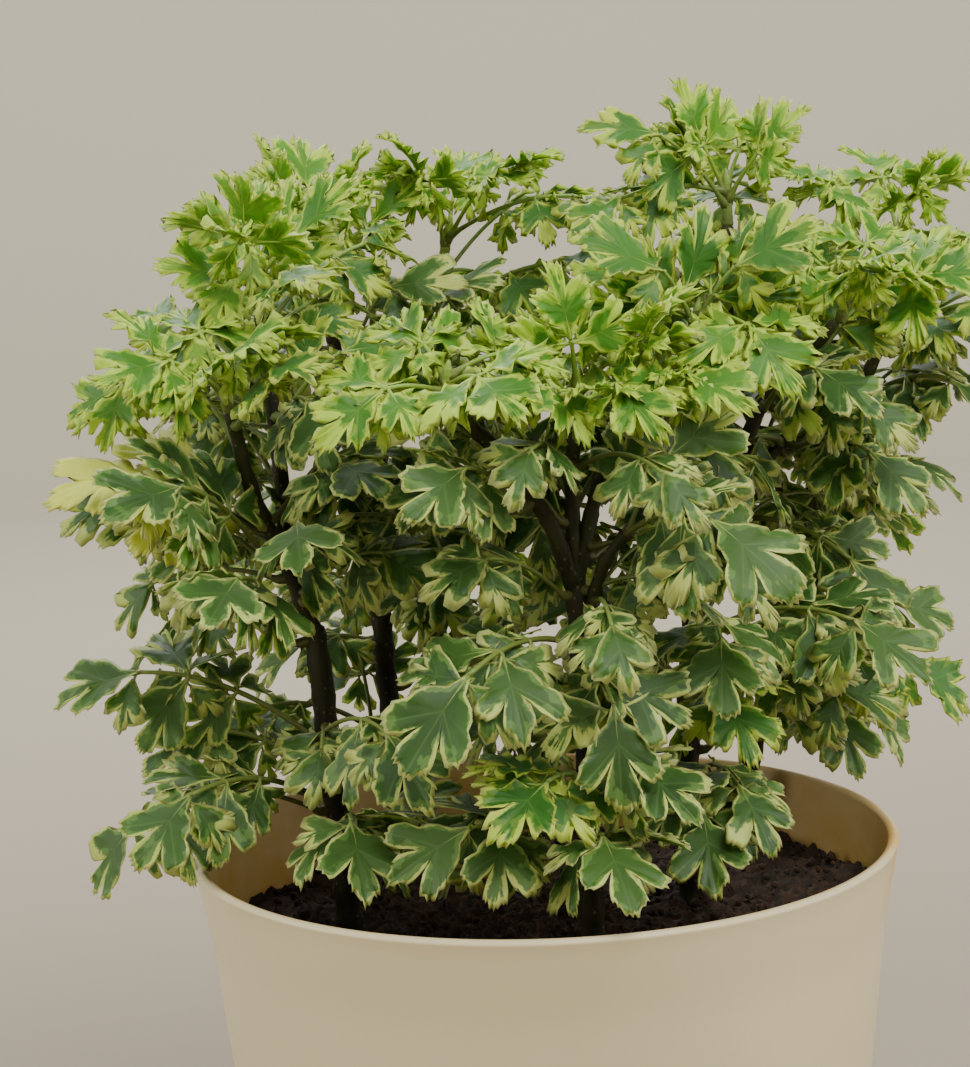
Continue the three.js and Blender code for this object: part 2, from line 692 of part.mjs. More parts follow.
// Triangles of one face of a leaflet whose ring runs from the root's right end over the tip to its left
// end. Each side has its lobe cut off first, and then fills in towards the line from root to tip.
function faceTriangles(ring) {
  const last = ring.length - 1;
  const tip = last / 2;
  const half = (at) => {
    const triangles = [];
    const cut = tip - (tip > 4 ? 2 : 1);
    if (cut > 2) triangles.push([at(0), at(1), at(cut)]);
    triangles.push([at(cut - 2), at(cut - 1), at(cut)]);
    if (cut + 2 === tip) triangles.push([at(cut), at(cut + 1), at(tip)]);
    triangles.push([at(0), at(cut), at(tip)]);
    return triangles;
  };
  const right = half((i) => ring[i]);
  const left = half((i) => ring[last - i]).map(([a, b, c]) => [a, c, b]);
  return [...right, ...left, [ring[0], ring[tip], ring[last]]].filter(([a, , c]) => a !== c);
}

// Faces and edge of a leaflet. Its root is a top edge and a bottom edge that exist already.
function addLeaflet(points, triangles, leaf, frame, rootTop, rootBottom, thickness) {
  const outline = leafletOutline(leaf, frame);
  const first = points.length;
  for (const offset of [thickness / 2, -thickness / 2]) {
    points.push(...outline.map((p) => bladePoint(frame, p, offset)));
  }
  const topRing = [rootTop[0], ...outline.map((_, i) => first + i), rootTop[1]];
  const bottomRing = [rootBottom[0], ...outline.map((_, i) => first + outline.length + i), rootBottom[1]];
  triangles.push(...faceTriangles(topRing), ...faceTriangles(bottomRing).map(([a, b, c]) => [a, c, b]));
  for (let i = 0; i + 1 < topRing.length; i += 1) {
    const [a, b] = [topRing[i], topRing[i + 1]];
    triangles.push([bottomRing[i], bottomRing[i + 1], b], [bottomRing[i], b, a]);
  }
}

// A leaflet by itself, for testing what it would cross. Its root starts at a share of its length.
function leafletSolid(leaf, frame, start, thickness) {
  const points = [];
  const half = (rootWidth / 2) * frame.length;
  const along = start * frame.length;
  const lift = (-leaf.kind.droop * along ** 2) / frame.length;
  for (const offset of [thickness / 2, -thickness / 2]) {
    for (const side of [-1, 1]) points.push(bladePoint(frame, [along, side * half, lift], offset));
  }
  const triangles = [[0, 1, 3], [0, 3, 2]];
  addLeaflet(points, triangles, leaf, frame, [0, 1], [2, 3], thickness);
  return solidFrom(points, triangles);
}

// Corners round the rib: top left, top right and keel. A negative share is the face of the foot.
function ribRing(leaf, share, grow) {
  const frame = ribFrame(leaf, Math.max(share, 0));
  if (leaf.collared && share <= 0) {
    const ahead = share < 0 ? leaf.out : leaf.out.clone().add(frame.ahead).normalize();
    frame.point.addScaledVector(leaf.out, share * collar);
    frame.left = leaf.face.clone().cross(ahead).normalize();
    frame.top = ahead.clone().cross(frame.left);
  }
  const half = leaf.rib.half * (ribGrowth - ribTaper * share) + grow;
  const ridge = frame.point.clone().addScaledVector(frame.top, leaf.rib.top + grow);
  const topLeft = ridge.clone().addScaledVector(frame.left, half);
  const topRight = ridge.clone().addScaledVector(frame.left, -half);
  return [topLeft, topRight, frame.point.clone().addScaledVector(frame.top, -leaf.rib.keel - grow)];
}

// Rib with or without its leaflets. Where a leaflet grows, it takes the place of the rib's side.
function leafShell(leaf, shares, grow, leaflets) {
  const points = shares.flatMap((share) => ribRing(leaf, share, grow));
  const triangles = [[0, 2, 1]];
  const grows = (segment, side) => leaflets
    .some(({ slot }) => slot.segment === segment && slot.side === side);
  for (let i = 0; i + 1 < shares.length; i += 1) {
    const [left, right, keel] = [i * 3, i * 3 + 1, i * 3 + 2];
    triangles.push([right, right + 3, left + 3], [right, left + 3, left]);
    if (!grows(i, 1)) triangles.push([left, left + 3, keel + 3], [left, keel + 3, keel]);
    if (!grows(i, -1)) triangles.push([right, keel, keel + 3], [right, keel + 3, right + 3]);
  }
  const last = (shares.length - 1) * 3;
  if (!grows('end', 0)) triangles.push([last, last + 1, last + 2]);
  for (const { slot, frame } of leaflets) {
    const base = slot.segment * 3;
    const roots = {
      1: [[base + 3, base], [base + 5, base + 2]],
      '-1': [[base + 1, base + 4], [base + 2, base + 5]],
      0: [[last + 1, last], [last + 2, last + 2]],
    }[slot.side];
    addLeaflet(points, triangles, leaf, frame, roots[0], roots[1], bladeThickness);
  }
  return solidFrom(points, triangles);
}

// Places of the leaflets on a rib, the end leaflet first
function leafletSlots(leaf) {
  const slots = [{ index: 0, segment: 'end', side: 0, share: 1, scale: 1 }];
  leaf.stations.forEach(([from, to], i) => {
    const below = leaf.stations.length - 1 - i;
    const segment = leaf.shares.indexOf(from);
    for (const side of [1, -1]) {
      const scale = upperPairScale - lowerPairLoss * below;
      slots.push({ index: slots.length, segment, side, share: (from + to) / 2, scale });
    }
  });
  return slots;
}

// Everything placed so far, as [solid, lowest corner, highest corner, node]
const placed = [];

function place(solid, node) {
  const { min, max } = solid.boundingBox();
  placed.push([solid, min, max, node]);
}

function crosses(solid, isTested) {
  const { min, max } = solid.boundingBox();
  return placed.some(([other, low, high, node]) => {
    if (!isTested(node) || [0, 1, 2].some((k) => min[k] > high[k] || max[k] < low[k])) return false;
    const shared = solid.intersect(other);
    const touching = !shared.isEmpty();
    shared.delete();
    return touching;
  });
}

// The first try of a rib that is clear, with the leaflets whose own first clear try was found
function growLeaf(spec, node) {
  let best = null;
  for (let turn = 0; turn < ribTries; turn += 1) {
    const leaf = leafTry(spec, turn);
    const from = (start) => [start, ...leaf.shares.filter((share) => share > start + 0.02)];
    const wholeRib = leafShell(leaf, from(spec.collared ? 0 : nearStem), clearance, []);
    const outerRib = leafShell(leaf, from(nearSiblings), clearance, []);
    const exactRib = leafShell(leaf, leaf.shares, touching, []);
    const blocked = crosses(wholeRib, (other) => other !== node)
      || crosses(outerRib, (other) => other === node) || crosses(exactRib, (other) => other !== node);
    if (blocked) continue;
    const grown = [];
    const own = [];
    for (const slot of leafletSlots(leaf)) {
      for (let bendTurn = 0; bendTurn < leafletTries; bendTurn += 1) {
        const frame = leafletFrame(leaf, slot, bendTurn);
        const test = leafletSolid(leaf, frame, 0.01, bladeThickness + 2 * clearance);
        if (crosses(test, () => true) || own.some((other) => !test.intersect(other).isEmpty())) continue;
        grown.push({ slot, frame });
        own.push(leafletSolid(leaf, frame, 0.02, bladeThickness));
        break;
      }
      if (grown.length === 0) break;
    }
    if (grown.length && (!best || grown.length > best.grown.length)) best = { leaf, grown, own };
    if (best && best.grown.length === spec.leaflets) break;
  }
  if (!best) throw new Error(`no room for a leaf of ${node}`);
  best.own.forEach((solid) => place(solid, node));
  place(leafShell(best.leaf, best.leaf.shares, 0, []), node);
  return leafShell(best.leaf, best.leaf.shares, 0, best.grown);
}

// Both ends of a shoot that stands just clear of the end of its stem, however much it leans
function shootLine(stem, tip) {
  const lean = tip.clone().sub(stem.point).angleTo(stem.ahead);
  const start = stem.point.clone().addScaledVector(stem.ahead, fitGap + shootRadii[0] * Math.sin(lean));
  return [start, tip];
}

const potFinish = { color: '#cbbd9a', roughness: 0.45 };
const soilFinish = { color: '#2c1d13', roughness: 0.95 };
const barkFinish = { color: '#33291c', roughness: 0.75 };
const leafRoughness = 0.5;

const aralia = new THREE.Group();

function addMesh(name, solid, finish) {
  const material = new THREE.MeshStandardMaterial({ ...finish, metalness: 0 });
  const mesh = new THREE.Mesh(geometryOf(solid.simplify(weld)), material);
  mesh.name = name;
  aralia.add(mesh);
}

const pot = makePot();
const soil = makeSoil();
addMesh('pot', pot, potFinish);
addMesh('soil', soil, soilFinish);
place(pot, 'pot');
place(soil, 'soil');

for (const [name, arms] of Object.entries(plants)) {
  const solids = Object.values(arms).map(({ path, radii }) => tubeSolid(path, radii, stemSides));
  const stem = solids.reduce((a, b) => a.add(b));
  addMesh(`${name}_stem`, stem, barkFinish);
  place(stem, `${name}_stem`);
}

const counts = {};
foliage.forEach((entry, index) => {
  const [plant, arm] = entry.on.split('.');
  const stem = alongStem(plants[plant][arm], entry.at);
  const isCrown = Boolean(entry.shoot);
  const label = `${plant}_${isCrown ? 'crown' : 'leaf'}`;
  counts[label] = (counts[label] || 0) + 1;
  const name = `${label}_${counts[label]}`;
  const squareTo = ([end]) => {
    const chord = vec(end).sub(stem.point);
    return chord.addScaledVector(stem.ahead, -chord.dot(stem.ahead)).normalize();
  };
  const out = entry.leaves
    .reduce((sum, leaf) => sum.add(squareTo(leaf)), new THREE.Vector3()).normalize();
  if (!isCrown && entry.leaves.some((leaf) => squareTo(leaf).angleTo(out) > radians(largestTurn))) {
    throw new Error(`${name} has leaves on opposite sides of its stem`);
  }
  const shoot = isCrown ? shootLine(stem, vec(entry.shoot)) : null;
  let node = isCrown ? tubeSolid(shoot.map((p) => p.toArray()), shootRadii, shootSides) : null;
  if (isCrown) place(node, name);
  entry.leaves.forEach(([end, size, leaflets, kindName], i) => {
    const kind = kinds[kindName];
    const foot = isCrown
      ? shoot[0].clone().lerp(shoot[1], lowestOnShoot + (leavesOnShoot * i) / entry.leaves.length)
      : stem.point.clone().addScaledVector(out, stem.radius + fitGap + touching + collar);
    const collared = !isCrown && i === 0;
    const rib = collared ? fullRib : slimRib;
    const spec = { foot, out, collared, rib, end: vec(end), size, leaflets, kind, seed: index * 7 + i };
    const leaf = growLeaf(spec, name);
    node = node ? node.add(leaf) : leaf;
  });
  addMesh(name, node, { color: kinds[entry.leaves[0][3]].color, roughness: leafRoughness });
});

export default aralia;
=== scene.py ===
import math

import bpy
import numpy as np
from mathutils import Matrix, Vector


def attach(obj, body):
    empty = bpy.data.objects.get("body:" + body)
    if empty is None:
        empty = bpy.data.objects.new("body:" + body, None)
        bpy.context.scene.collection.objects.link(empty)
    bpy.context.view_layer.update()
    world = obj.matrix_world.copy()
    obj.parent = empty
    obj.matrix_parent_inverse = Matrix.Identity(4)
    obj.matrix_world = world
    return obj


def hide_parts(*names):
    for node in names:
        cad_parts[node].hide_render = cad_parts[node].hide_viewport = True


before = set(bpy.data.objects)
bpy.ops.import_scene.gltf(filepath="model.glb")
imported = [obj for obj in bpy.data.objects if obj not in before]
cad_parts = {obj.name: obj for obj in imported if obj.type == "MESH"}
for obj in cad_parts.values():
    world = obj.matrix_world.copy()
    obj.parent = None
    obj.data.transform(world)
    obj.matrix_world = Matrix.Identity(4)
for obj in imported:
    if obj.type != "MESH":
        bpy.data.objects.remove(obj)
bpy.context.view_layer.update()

# Potted aralia: a cream plastic pot, its soil, and five plants with lobed leaflets edged in cream.
# Shapes are worked out in millimetres, with +Z up and the origin under the middle of the pot, and
# every mesh is in metres.

mm = 0.001
upward = np.array((0.0, 0.0, 1.0))


def hexColor(text):  # sRGB hex to linear, for every colour in the file
    parts = [int(text[i:i + 2], 16) / 255 for i in (1, 3, 5)]
    return [c / 12.92 if c <= 0.04045 else ((c + 0.055) / 1.055) ** 2.4 for c in parts] + [1.0]


# A node with its settings, values and links. A node that is given as a value is linked by the first
# output that it has in use, and a text is a colour.
def addNode(tree, kind, inputs=None, **settings):
    node = tree.nodes.new("ShaderNode" + kind)
    for key, value in settings.items():
        setattr(node, key, value)
    for key, value in (inputs or {}).items():
        if isinstance(value, bpy.types.Node):
            value = next(socket for socket in value.outputs if socket.enabled)
        if isinstance(value, bpy.types.NodeSocket):
            tree.links.new(value, node.inputs[key])
        else:
            node.inputs[key].default_value = hexColor(value) if isinstance(value, str) else value
    return node


def newMaterial(name):
    material = bpy.data.materials.new(name)
    material.use_nodes = True
    tree = material.node_tree
    tree.nodes.clear()
    return material, tree


# Colours laid over a base, one after another, each as (value, none, full, most, colour): its share
# rises from 0 to its most as the value goes from none to full
def laidOver(tree, base, layers):
    for value, none, full, most, color in layers:
        share = addNode(tree, "MapRange", {
            "Value": value, "From Min": none, "From Max": full, "To Max": most})
        base = addNode(tree, "Mix", {"Factor": share, "A": base, "B": color}, data_type="RGBA")
    return base


def unit(v):
    return v / np.linalg.norm(v, axis=-1, keepdims=True)


def around(count):  # the angles of so many equal steps round a circle
    return np.arange(count) / count * 2 * math.pi


def runLength(line):  # the length that a line has run at each of its points
    return np.concatenate([[0], np.cumsum(np.linalg.norm(np.diff(line, axis=0), axis=1))])


# Triangles of a grid of rows by columns, whose columns close into a ring
def ringFaces(rows, columns, first=0):
    r, c = np.meshgrid(np.arange(rows - 1), np.arange(columns), indexing="ij")
    a = (first + r * columns + c).ravel()
    b = (first + r * columns + (c + 1) % columns).ravel()
    return np.concatenate([np.stack([a, b, b + columns], 1), np.stack([a, b + columns, a + columns], 1)])


# Fan from one point to a ring of columns points, facing back along the path or ahead along it
def poleFaces(pole, first, columns, ahead):
    a = first + np.arange(columns)
    b = first + (np.arange(columns) + 1) % columns
    return np.stack([np.full(columns, pole), a, b] if ahead else [np.full(columns, pole), b, a], 1)


# Closed surface: rings of points from a first pole to a last one
def closedSurface(first, rings, last):
    rows, columns = rings.shape[:2]
    points = np.concatenate([[first], rings.reshape(-1, 3), [last]])
    faces = np.concatenate([
        ringFaces(rows, columns, 1),
        poleFaces(0, 1, columns, False),
        poleFaces(len(points) - 1, 1 + (rows - 1) * columns, columns, True),
    ])
    return points, faces


# Surface of revolution: a profile of (radius, height) turned about Z, with a pole at both ends
def turnedSurface(profile, columns):
    profile = np.asarray(profile, float)
    angle = around(columns)
    rings = np.stack([profile[1:-1, :1] * np.cos(angle), profile[1:-1, :1] * np.sin(angle),
                      np.repeat(profile[1:-1, 1:], columns, 1)], -1)
    return closedSurface((0, 0, profile[0, 1]), rings, (0, 0, profile[-1, 1]))


# Tube: at each point of the path a circle of that radius square to the path, and a pole at both ends
def tubeSurface(path, radii, sides, reference):
    ahead = unit(np.gradient(path, axis=0))
    side = unit(np.cross(ahead, reference))
    other = np.cross(ahead, side)
    angle = around(sides)
    spoke = side[:, None] * np.cos(angle)[:, None] + other[:, None] * np.sin(angle)[:, None]
    radii = np.broadcast_to(np.asarray(radii).reshape(len(path), -1), (len(path), sides))
    return closedSurface(path[0], path[:, None] + radii[:, :, None] * spoke, path[-1])


def perRing(values, sides):  # one value a ring, for each point of a tube
    return np.concatenate([values[:1], np.repeat(values, sides), values[-1:]])


# Catmull-Rom curve through the points, with so many samples in each span
def smoothLine(points, perSpan):
    p = np.asarray(points, float)
    p = np.concatenate([2 * p[:1] - p[1:2], p, 2 * p[-1:] - p[-2:-1]])
    a, b, c, d = (p[i:len(p) - 3 + i, None] for i in range(4))
    t = (np.arange(perSpan) / perSpan)[None, :, None]
    curve = 0.5 * (2 * b + (c - a) * t + (2 * a - 5 * b + 4 * c - d) * t ** 2
                   + (3 * b - a - 3 * c + d) * t ** 3)
    return np.concatenate([curve.reshape(-1, 3), p[-2:-1]])


# Collects surfaces into one mesh: points in millimetres, triangles, a material and named fields each
class Gatherer:
    def __init__(self, fieldNames=()):
        self.points, self.faces, self.picks = [], [], []
        self.fields = {name: [] for name in fieldNames}
        self.count = 0

    def add(self, points, faces, pick=0, **fields):
        self.points.append(points)
        self.faces.append(faces + self.count)
        self.picks.append(np.full(len(faces), pick))
        for name, store in self.fields.items():
            store.append(np.broadcast_to(np.asarray(fields.get(name, 0.0), float), len(points)))
        self.count += len(points)

    def piece(self, name, materials):
        mesh = bpy.data.meshes.new(name)
        faces = np.concatenate(self.faces)
        mesh.from_pydata(np.concatenate(self.points) * mm, [], faces)
        for material in materials:
            mesh.materials.append(material)
        mesh.polygons.foreach_set("material_index", np.concatenate(self.picks).astype(np.int32))
        mesh.polygons.foreach_set("use_smooth", np.ones(len(faces), bool))
        for label, store in self.fields.items():
            data = mesh.attributes.new(label, "FLOAT", "POINT").data
            data.foreach_set("value", np.concatenate(store).astype(np.float32))
        mesh.update()
        piece = bpy.data.objects.new(name, mesh)
        bpy.context.scene.collection.objects.link(piece)
        return piece


def fit(piece, node):  # the piece stands for its node: it is attached to the root body and the node is hidden
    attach(piece, "root")
    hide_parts(node)


# Camera, floor and light
print("camera, floor and light")
view = {
    "place": (0.0, -0.57882, 0.28802),
    "right": (0.99904, 0.01053, -0.04249),
    "up": (0.0403, 0.15802, 0.98661),
    "lens": 94.08, "nearest": 0.01,
}
camera = bpy.data.objects.new("camera", bpy.data.cameras.new("camera"))
camera.data.lens = view["lens"]
camera.data.clip_start = view["nearest"]
bpy.context.scene.collection.objects.link(camera)
viewRight, viewUp = Vector(view["right"]).normalized(), Vector(view["up"]).normalized()
viewBack = viewRight.cross(viewUp)
camera.matrix_world = Matrix.Translation(view["place"]) @ Matrix(
    (viewRight, viewUp, viewBack)).transposed().to_4x4()
bpy.context.scene.camera = camera

studio = {
    "floorRadius": 1500, "coveRadius": 500, "wallHeight": 1500, "floorLevel": -0.05, "columns": 96,
    "shadedNearPaper": "#9a8f7f", "farPaper": "#c9c5b1", "palesFrom": 0.3, "palesTo": 2.0,
    "skyColor": "#f6f4ee", "sky": 0.55,
    "lights": {  # each as (place, what it points at, size, power)
        "key": ((0.45, -0.75, 1.15), (0.0, 0.0, 0.17), 0.9, 18.0),
        "fill": ((-1.0, -0.25, 0.5), (0.0, 0.0, 0.17), 0.9, 7.0),
        "side": ((1.1, -0.05, 0.45), (0.0, 0.0, 0.17), 0.8, 5.0),
        "back": ((-0.2, 0.9, 1.0), (0.0, 0.0, 0.17), 0.8, 9.0),
        "wall": ((0.0, 0.6, 1.3), (0.0, 2.0, 0.75), 1.0, 14.0),
    },
}
for name, (place, target, size, power) in studio["lights"].items():
    light = bpy.data.objects.new(name, bpy.data.lights.new(name, "AREA"))
    light.data.shape = "DISK"
    light.data.size = size
    light.data.energy = power
    light.location = place
    light.rotation_euler = (Vector(target) - Vector(place)).to_track_quat("-Z", "Y").to_euler()
    bpy.context.scene.collection.objects.link(light)
world = bpy.data.worlds.new("soft daylight")
world.use_nodes = True
world.node_tree.nodes["Background"].inputs["Color"].default_value = hexColor(studio["skyColor"])
world.node_tree.nodes["Background"].inputs["Strength"].default_value = studio["sky"]
bpy.context.scene.world = world

# Background paper, matt, warm grey, with painted shade: darker near the plant, paling with the distance
paper, tree = newMaterial("matt background paper")
place = addNode(tree, "TexCoord").outputs["Object"]
away = addNode(tree, "VectorMath", {0: place}, operation="LENGTH")
# painted shade: the paper is darker around the plant and pales to the far tone with the distance
tone = laidOver(tree, studio["shadedNearPaper"], [
    (away, studio["palesFrom"], studio["palesTo"], 1.0, studio["farPaper"])])
shader = addNode(tree, "BsdfPrincipled", {"Base Color": tone, "Roughness": 0.9})
addNode(tree, "OutputMaterial", {"Surface": shader})

# Floor that curves up into a round wall, as one profile turned about Z
floorEnd, wallEnd = studio["floorRadius"], studio["floorRadius"] + studio["coveRadius"]
profile = [(radius, studio["floorLevel"]) for radius in (0, 200, floorEnd)]
profile += [(floorEnd + studio["coveRadius"] * math.sin(a), studio["coveRadius"] * (1 - math.cos(a)))
            for a in np.linspace(0, math.pi / 2, 24)[1:]]
profile += [(wallEnd, studio["wallHeight"]), (0, studio["wallHeight"])]
points, faces = turnedSurface(profile, studio["columns"])
opening = Gatherer()
opening.add(points[:-1], faces[:-studio["columns"], ::-1])  # without its top, and seen from inside
backdrop = opening.piece("backdrop", [paper])

# Pot
print("pot")
pot = {
    "rimRadius": 75.0, "height": 130.0, "wall": 2.4, "taper": 0.107, "columns": 192,
    "floorTop": 4.0, "floorCorner": 2.0, "recess": 2.0, "footWidth": 6.0, "padRadius": 13.0,
    "lip": 1.2, "edge": 0.7, "flare": 1.3, "flareHeight": 18.0, "ringDepth": 0.04, "ringRate": 0.21,
    "wallSteps": 40, "lipSteps": 13, "cornerSteps": 7,
    "drainRadius": 4.5, "drainCircle": 36.0, "drains": 4, "drainSides": 32,
    "cream": "#dbcea7", "creamDeep": "#cfc097", "grimeAndGlow": "#c69a3a", "rust": "#d69a32",
    "rustPlace": (0.073, -0.012, 0.128),
}


def wallRadius(z):
    lip = pot["flare"] * np.clip((pot["height"] - z) / pot["flareHeight"], 0, 1)
    return pot["rimRadius"] - pot["taper"] * (pot["height"] - z) - lip


def innerRadius(z):
    return wallRadius(z) - pot["wall"]


# Injection-moulded polypropylene, satin: even cream, a little chalky with age, tan inside, partly soil
# stain and partly painted glow of light through the wall, blushed with rust on the rim, faint mould rings
mouldedPlastic, tree = newMaterial("moulded polypropylene")
place = addNode(tree, "TexCoord").outputs["Object"]
axes = addNode(tree, "SeparateXYZ", {"Vector": place})
clouds = addNode(tree, "TexNoise", {"Vector": place, "Scale": 22.0, "Detail": 3.0})
flat = addNode(tree, "CombineXYZ", {"X": axes.outputs["X"], "Y": axes.outputs["Y"]})
fromMiddle = addNode(tree, "VectorMath", {0: flat}, operation="LENGTH")
wallLine = addNode(tree, "Math", {  # minus the radius of the middle of the wall, without its flare
    0: axes.outputs["Z"], 1: -pot["taper"],
    2: (pot["taper"] * pot["height"] - pot["rimRadius"] + pot["wall"] / 2) * mm,
}, operation="MULTIPLY_ADD")
belowLip = addNode(tree, "MapRange", {
    "Value": axes.outputs["Z"], "From Min": pot["height"] * mm,
    "From Max": (pot["height"] - pot["flareHeight"]) * mm, "To Max": pot["flare"] * mm})
lineHere = addNode(tree, "Math", {0: wallLine, 1: belowLip})
outside = addNode(tree, "Math", {0: fromMiddle, 1: lineHere})
inside = addNode(tree, "MapRange", {"Value": outside, "From Min": 0.0002, "From Max": -0.0002})
nearSoil = addNode(tree, "MapRange", {
    "Value": axes.outputs["Z"], "From Min": 0.131, "From Max": 0.112, "To Min": 0.7, "To Max": 1.0})
splash = addNode(tree, "TexNoise", {"Vector": place, "Scale": 130.0, "Detail": 4.0})
splashShare = addNode(tree, "MapRange", {
    "Value": splash, "From Min": 0.3, "From Max": 0.7, "To Min": 0.65})
# the tan laid inside is partly soil stain and partly painted glow of light through the thin wall
stainAndGlow = inside
for share in (nearSoil, splashShare):
    stainAndGlow = addNode(tree, "Math", {0: stainAndGlow, 1: share}, operation="MULTIPLY")
fromRust = addNode(tree, "VectorMath", {0: place, 1: pot["rustPlace"]}, operation="DISTANCE")
tone = laidOver(tree, pot["creamDeep"], [
    (clouds, 0.0, 1.0, 1.0, pot["cream"]),
    (stainAndGlow, 0.0, 1.0, 1.0, pot["grimeAndGlow"]),
    (fromRust, 0.018, 0.003, 0.65, pot["rust"]),
])
rings = addNode(tree, "TexWave", {  # mould rings about 2.5 mm apart
    "Vector": place, "Scale": 125.0, "Distortion": 1.5}, bands_direction="Z")
grain = addNode(tree, "TexNoise", {"Vector": place, "Scale": 900.0, "Detail": 2.0})
relief = addNode(tree, "Mix", {"Factor": 0.85, "A": rings.outputs["Fac"], "B": grain})
bump = addNode(tree, "Bump", {"Height": relief, "Strength": 0.12, "Distance": 0.0002})
gloss = addNode(tree, "MapRange", {"Value": clouds, "To Min": 0.5, "To Max": 0.4})
shader = addNode(tree, "BsdfPrincipled", {
    "Base Color": tone, "Roughness": gloss, "IOR": 1.49, "Normal": bump,
    "Subsurface Weight": 0.2, "Subsurface Radius": (0.9, 0.7, 0.3), "Subsurface Scale": 0.003})
addNode(tree, "OutputMaterial", {"Surface": shader})


# Turned profile: centre pad, recess and foot ring below, with each edge broken by some tenths of a
# millimetre, then the leaning wall, the round lip, and inside down to the floor's rounded corner
def potProfile():
    pad, floorTop, corner = pot["padRadius"], pot["floorTop"], pot["floorCorner"]
    foot = wallRadius(0) - pot["edge"]
    footStart = foot - pot["footWidth"]
    lipMiddle, cornerMiddle = pot["rimRadius"] - pot["lip"], innerRadius(floorTop) - corner
    rise = np.linspace(2, pot["height"] - pot["lip"], pot["wallSteps"])
    return [
        (0, 0), (pad - 0.3, 0), (pad, 0.15), (pad + 1, pot["recess"]), (footStart - 1, pot["recess"]),
        (footStart, 0.1), (footStart + 0.3, 0), (foot - 0.3, 0), (foot + 0.2, 0.2), (foot + 0.6, 0.7),
        *((wallRadius(z) + pot["ringDepth"] * math.sin(z * pot["ringRate"]), z) for z in rise),
        *((lipMiddle + pot["lip"] * math.cos(a), pot["height"] - pot["lip"] * (1 - math.sin(a)))
          for a in np.linspace(0, math.pi, pot["lipSteps"])[1:]),
        *((innerRadius(z), z) for z in rise[::-1][1:-2]),
        *((cornerMiddle + corner * math.cos(a), floorTop + corner - corner * math.sin(a))
          for a in np.linspace(0, math.pi / 2, pot["cornerSteps"])),
        (20, floorTop), (0, floorTop),
    ]


vessel = Gatherer()
vessel.add(*turnedSurface(potProfile(), pot["columns"]))
potPiece = vessel.piece("pot_shell", [mouldedPlastic])

drills = Gatherer()
for i in range(pot["drains"]):
    angle = (i + 0.5) / pot["drains"] * 2 * math.pi
    centre = np.array((pot["drainCircle"] * math.cos(angle), pot["drainCircle"] * math.sin(angle), 0))
    drills.add(*tubeSurface(centre + upward * np.linspace(-4, 10, 3)[:, None],
                            np.full(3, pot["drainRadius"]), pot["drainSides"], np.array((1.0, 0, 0))))
drillPiece = drills.piece("drain_drills", [])
cut = potPiece.modifiers.new("drains", "BOOLEAN")
cut.operation = "DIFFERENCE"
cut.solver = "EXACT"
cut.object = drillPiece
bpy.context.view_layer.update()
potPiece.data = bpy.data.meshes.new_from_object(
    potPiece.evaluated_get(bpy.context.evaluated_depsgraph_get()))
potPiece.modifiers.clear()
bpy.data.objects.remove(drillPiece)
potPiece.data.name = "pot_shell"
fit(potPiece, "pot")

# Soil
print("soil")
soil = {
    "level": 113.0, "sideTop": 107.0, "sideMiddle": 60.0, "bottom": 4.3, "gap": 0.1,
    "rings": 84, "columns": 220, "seed": 21,
    "rise": 0.07, "heap": 1.5, "crumb": 0.8, "collar": 1.2, "collarWidth": 2.5,
    "waves": 46, "longest": 9, "shortest": 2, "relief": 0.42, "flattens": 0.8,
    "lumps": 900, "lumpInset": 2, "smallest": 0.35, "larger": 1.1, "dents": (0.7, 1.2),
    "squash": (0.6, 1.2), "sits": (-0.2, 0.6), "fibres": 60, "fibreInset": 8, "fibreLength": (3, 8),
    "fibreBend": 0.06, "fibreArch": 0.05, "fibreLift": 0.5,
    "fibreRadii": (0.08, 0.18, 0.22, 0.2, 0.16, 0.06),
    "dark": "#25170a", "brown": "#432c19", "pale": "#6f5334",
}


def soilLevel(x):  # it climbs to the right of its middle
    return soil["level"] + soil["rise"] * np.maximum(x, 0)


def soilHeight(x, y):  # broad heaps crossed by smaller ones, as in the solid
    heaps = soil["heap"] * np.sin(x * 0.11 + 0.7) * np.cos(y * 0.13 - 0.4)
    crumbs = soil["crumb"] * np.sin(x * 0.37 + y * 0.21) * np.sin(y * 0.43 - x * 0.17 + 1.1)
    return soilLevel(x) + heaps + crumbs


# Potting mix of composted bark: near black where damp, with browner crumbs and pale dust, no gloss
pottingMix, tree = newMaterial("damp potting mix")
place = addNode(tree, "TexCoord").outputs["Object"]
cells = addNode(tree, "TexVoronoi", {"Vector": place, "Scale": 420.0})
crumbTone = addNode(tree, "SeparateColor", {"Color": cells.outputs["Color"]})
dust = addNode(tree, "TexNoise", {"Vector": place, "Scale": 160.0, "Detail": 6.0})
tone = laidOver(tree, soil["dark"], [
    (crumbTone, 0.35, 1.0, 1.0, soil["brown"]),
    (dust, 0.6, 0.8, 0.4, soil["pale"]),
])
grit = addNode(tree, "TexNoise", {"Vector": place, "Scale": 1500.0, "Detail": 4.0})
bump = addNode(tree, "Bump", {"Height": grit, "Strength": 0.8, "Distance": 0.0006})
shader = addNode(tree, "BsdfPrincipled", {"Base Color": tone, "Roughness": 0.95, "Normal": bump})
addNode(tree, "OutputMaterial", {"Surface": shader})

